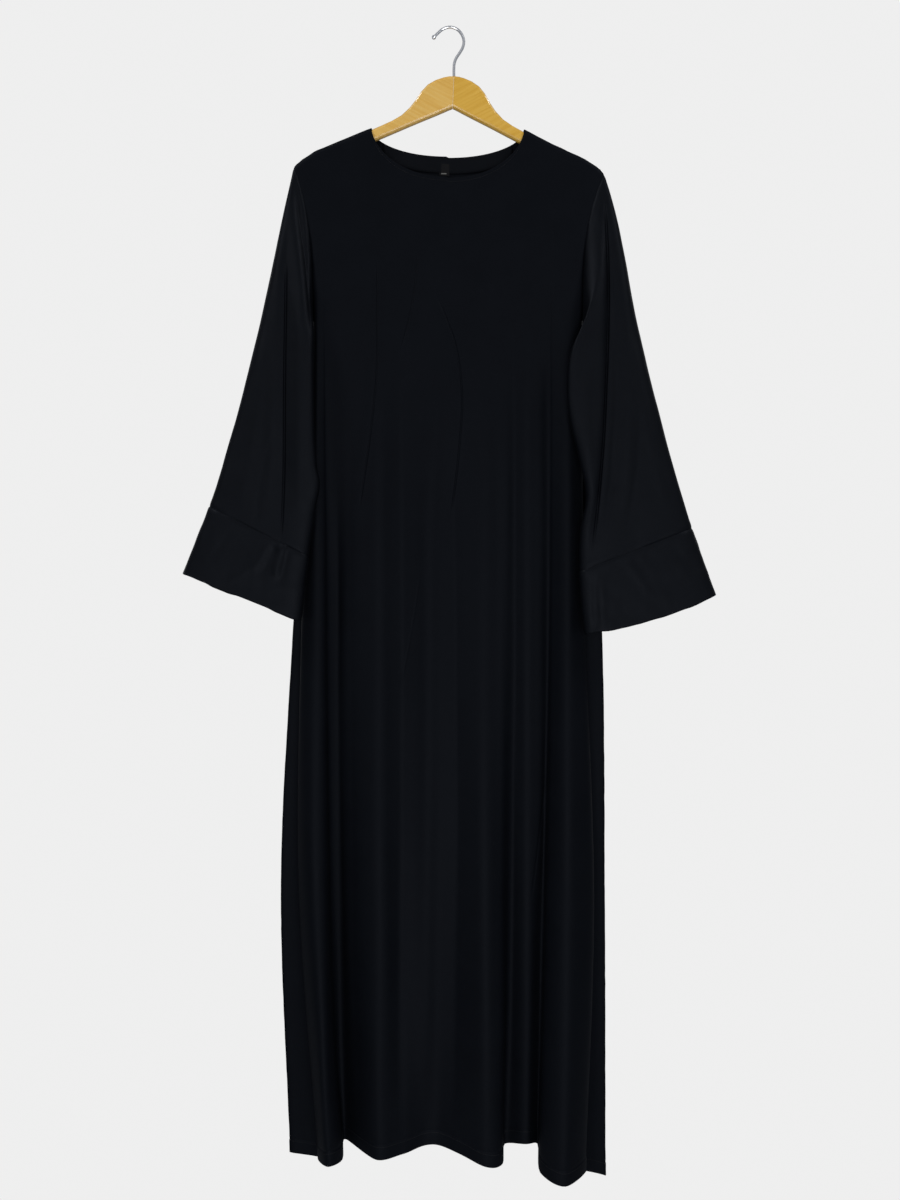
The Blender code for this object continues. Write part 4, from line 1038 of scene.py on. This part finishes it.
def stitch_rows(name, rows):
    """One object of many small bars, along each row of points with its normals."""
    turn = np.arange(BAR_SIDES) * 2.0 * pi / BAR_SIDES
    points, faces = [], []
    for line, out in rows:
        arc = np.concatenate([[0.0], np.cumsum(np.linalg.norm(np.diff(line, axis=0), axis=1))])
        for middle in np.arange(STITCH_PITCH, arc[-1] - STITCH_PITCH, STITCH_PITCH):
            reads = ((middle, line), (middle - 1.0, line), (middle + 1.0, line), (middle, out))
            centre, before, after, up = (
                np.array([np.interp(at, arc, values[:, axis]) for axis in range(3)])
                for at, values in reads
            )
            along = unit(after - before)
            across = unit(np.cross(along, up))
            up = np.cross(across, along)
            start = len(points)
            for place, swell in BAR_RINGS:
                at = centre + along * place * STITCH_LONG / 2.0
                for angle in turn:
                    side = across * np.cos(angle) + up * np.sin(angle)
                    points.append(at + side * THREAD_RADIUS * swell)
            for ring in range(len(BAR_RINGS) - 1):
                low, high = start + ring * BAR_SIDES, start + (ring + 1) * BAR_SIDES
                for k in range(BAR_SIDES):
                    after_k = (k + 1) % BAR_SIDES
                    faces.append((low + k, low + after_k, high + after_k, high + k))
            faces.append(tuple(start + k for k in reversed(range(BAR_SIDES))))
            faces.append(tuple(start + (len(BAR_RINGS) - 1) * BAR_SIDES + k for k in range(BAR_SIDES)))
    return mesh_object(name, np.array(points), faces, thread)


def lifted(sheet, normals, away, last, thickness, columns=slice(None)):
    """A line along a sheet, raised so that half of the thread stands out of the cloth."""
    line, out = seam_line(sheet[:, columns], normals[:, columns], away, last)
    return line + out * (thickness / 2.0 + THREAD_RADIUS * 0.5), out


in_neck = np.where(np.abs(front[0, :, 0] - NECK_CENTRE_X) < NECK_HALF_WIDTH - NECK_STITCH_END)[0]
hem_thick, neck_thick = CLOTH * (1.0 + HEM_EXTRA), CLOTH * (1.0 + NECK_EXTRA)
hem_lines = [
    lifted(sheet, normals, HEM_STITCH_UP, True, hem_thick)
    for sheet, normals in ((front, front_out), (back, back_out))
]
neck_lines = [lifted(front, front_out, NECK_STITCH_DOWN, False, neck_thick, in_neck)]
for set_name, rows in (("hem_stitches", hem_lines), ("neck_stitches", neck_lines)):
    stitches = stitch_rows(set_name, rows)
    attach(stitches, "root")


# Floor, lights and camera
# A pale round floor below the picture, an even pale backdrop, and soft lights: two in front, one low,
# two at the sides, two for the hanger and two behind. The camera stands straight in front.

FLOOR_Z, FLOOR_RADIUS = -2.0, 0.85
BACKDROP = (0.86, 0.86, 0.86, 1.0)
ROOM_LIGHT = (0.15, 0.16, 0.18, 1.0)
FLOOR_DARK, FLOOR_PALE = (0.79, 0.79, 0.79), (0.82, 0.82, 0.82)
bpy.ops.object.select_all(action="DESELECT")
bpy.ops.mesh.primitive_circle_add(
    vertices=96, radius=FLOOR_RADIUS, fill_type="NGON", location=(0.0, 0.0, FLOOR_Z)
)
floor = bpy.context.object
floor.name = "floor"
floor_paint, floor_tree, floor_shader = new_material("pale_floor", (0.80, 0.80, 0.80), 0.8)
floor_dust = object_texture(floor_tree, "ShaderNodeTexNoise", Scale=9.0, Detail=4.0)
floor_color = color_band(floor_tree, floor_dust.outputs["Fac"], ((0.3, FLOOR_DARK), (0.7, FLOOR_PALE)))
floor_tree.links.new(floor_color, floor_shader.inputs["Base Color"])
floor.data.materials.append(floor_paint)

room = bpy.data.worlds.new("room")
bpy.context.scene.world = room
room.use_nodes = True
room_tree = room.node_tree
room_light = room_tree.nodes["Background"]
room_light.inputs["Color"].default_value = ROOM_LIGHT
room_wall = add_node(room_tree, "ShaderNodeBackground", Color=BACKDROP)
room_ray = room_tree.nodes.new("ShaderNodeLightPath")
room_mix = room_tree.nodes.new("ShaderNodeMixShader")
room_tree.links.new(room_ray.outputs["Is Camera Ray"], room_mix.inputs[0])
room_tree.links.new(room_light.outputs[0], room_mix.inputs[1])
room_tree.links.new(room_wall.outputs[0], room_mix.inputs[2])
room_tree.links.new(room_mix.outputs[0], room_tree.nodes["World Output"].inputs["Surface"])

AIM = Vector((0.0, 0.0, -0.85))
LIGHT_WIDTH, LIGHT_HEIGHT = 0.6, 1.8  # shares of a light's size
# Each light: name, place, size in metres, power in watts
LIGHTS = (
    ("left_light", (-1.7, -1.6, -0.75), 1.0, 1.6),
    ("right_light", (1.7, -1.6, -0.75), 1.0, 2.4),
    ("front_light_left", (-0.62, -2.6, -1.05), 0.7, 7.2),
    ("front_light_right", (0.62, -2.6, -1.05), 0.7, 7.2),
    ("low_light", (0.1, -2.5, -1.75), 0.6, 6.5),
    ("hanger_light_left", (-1.5, -1.0, 1.3), 0.6, 19.0),
    ("hanger_light_right", (1.5, -1.0, 1.3), 0.6, 16.0),
    ("back_light_left", (-1.6, 1.6, -0.2), 1.2, 4.0),
    ("back_light_right", (1.6, 1.6, -0.2), 1.2, 4.0),
)
for name, place, size, power in LIGHTS:
    lamp = bpy.data.lights.new(name, "AREA")
    lamp.shape = "RECTANGLE"
    lamp.size = size * LIGHT_WIDTH
    lamp.size_y = size * LIGHT_HEIGHT
    lamp.energy = power
    holder = bpy.data.objects.new(name, lamp)
    bpy.context.collection.objects.link(holder)
    holder.location = place
    holder.rotation_euler = (AIM - Vector(place)).to_track_quat("-Z", "Y").to_euler()

CAMERA_DISTANCE = 2.2
CAMERA_PLACE = (-0.001, -CAMERA_DISTANCE, -0.8)
SEEN_HEIGHT = 1.68  # metres of height that the picture takes in, in the hanger's plane
SENSOR = 36.0
lens = bpy.data.cameras.new("camera")
lens.sensor_fit = "AUTO"
lens.sensor_width = SENSOR
lens.lens = SENSOR * CAMERA_DISTANCE / SEEN_HEIGHT
camera = bpy.data.objects.new("camera", lens)
bpy.context.collection.objects.link(camera)
camera.location = CAMERA_PLACE
camera.rotation_euler = (pi / 2.0, 0.0, 0.0)
bpy.context.scene.camera = camera
bpy.context.scene.view_settings.view_transform = "Standard"
bpy.context.scene.view_settings.look = "None"
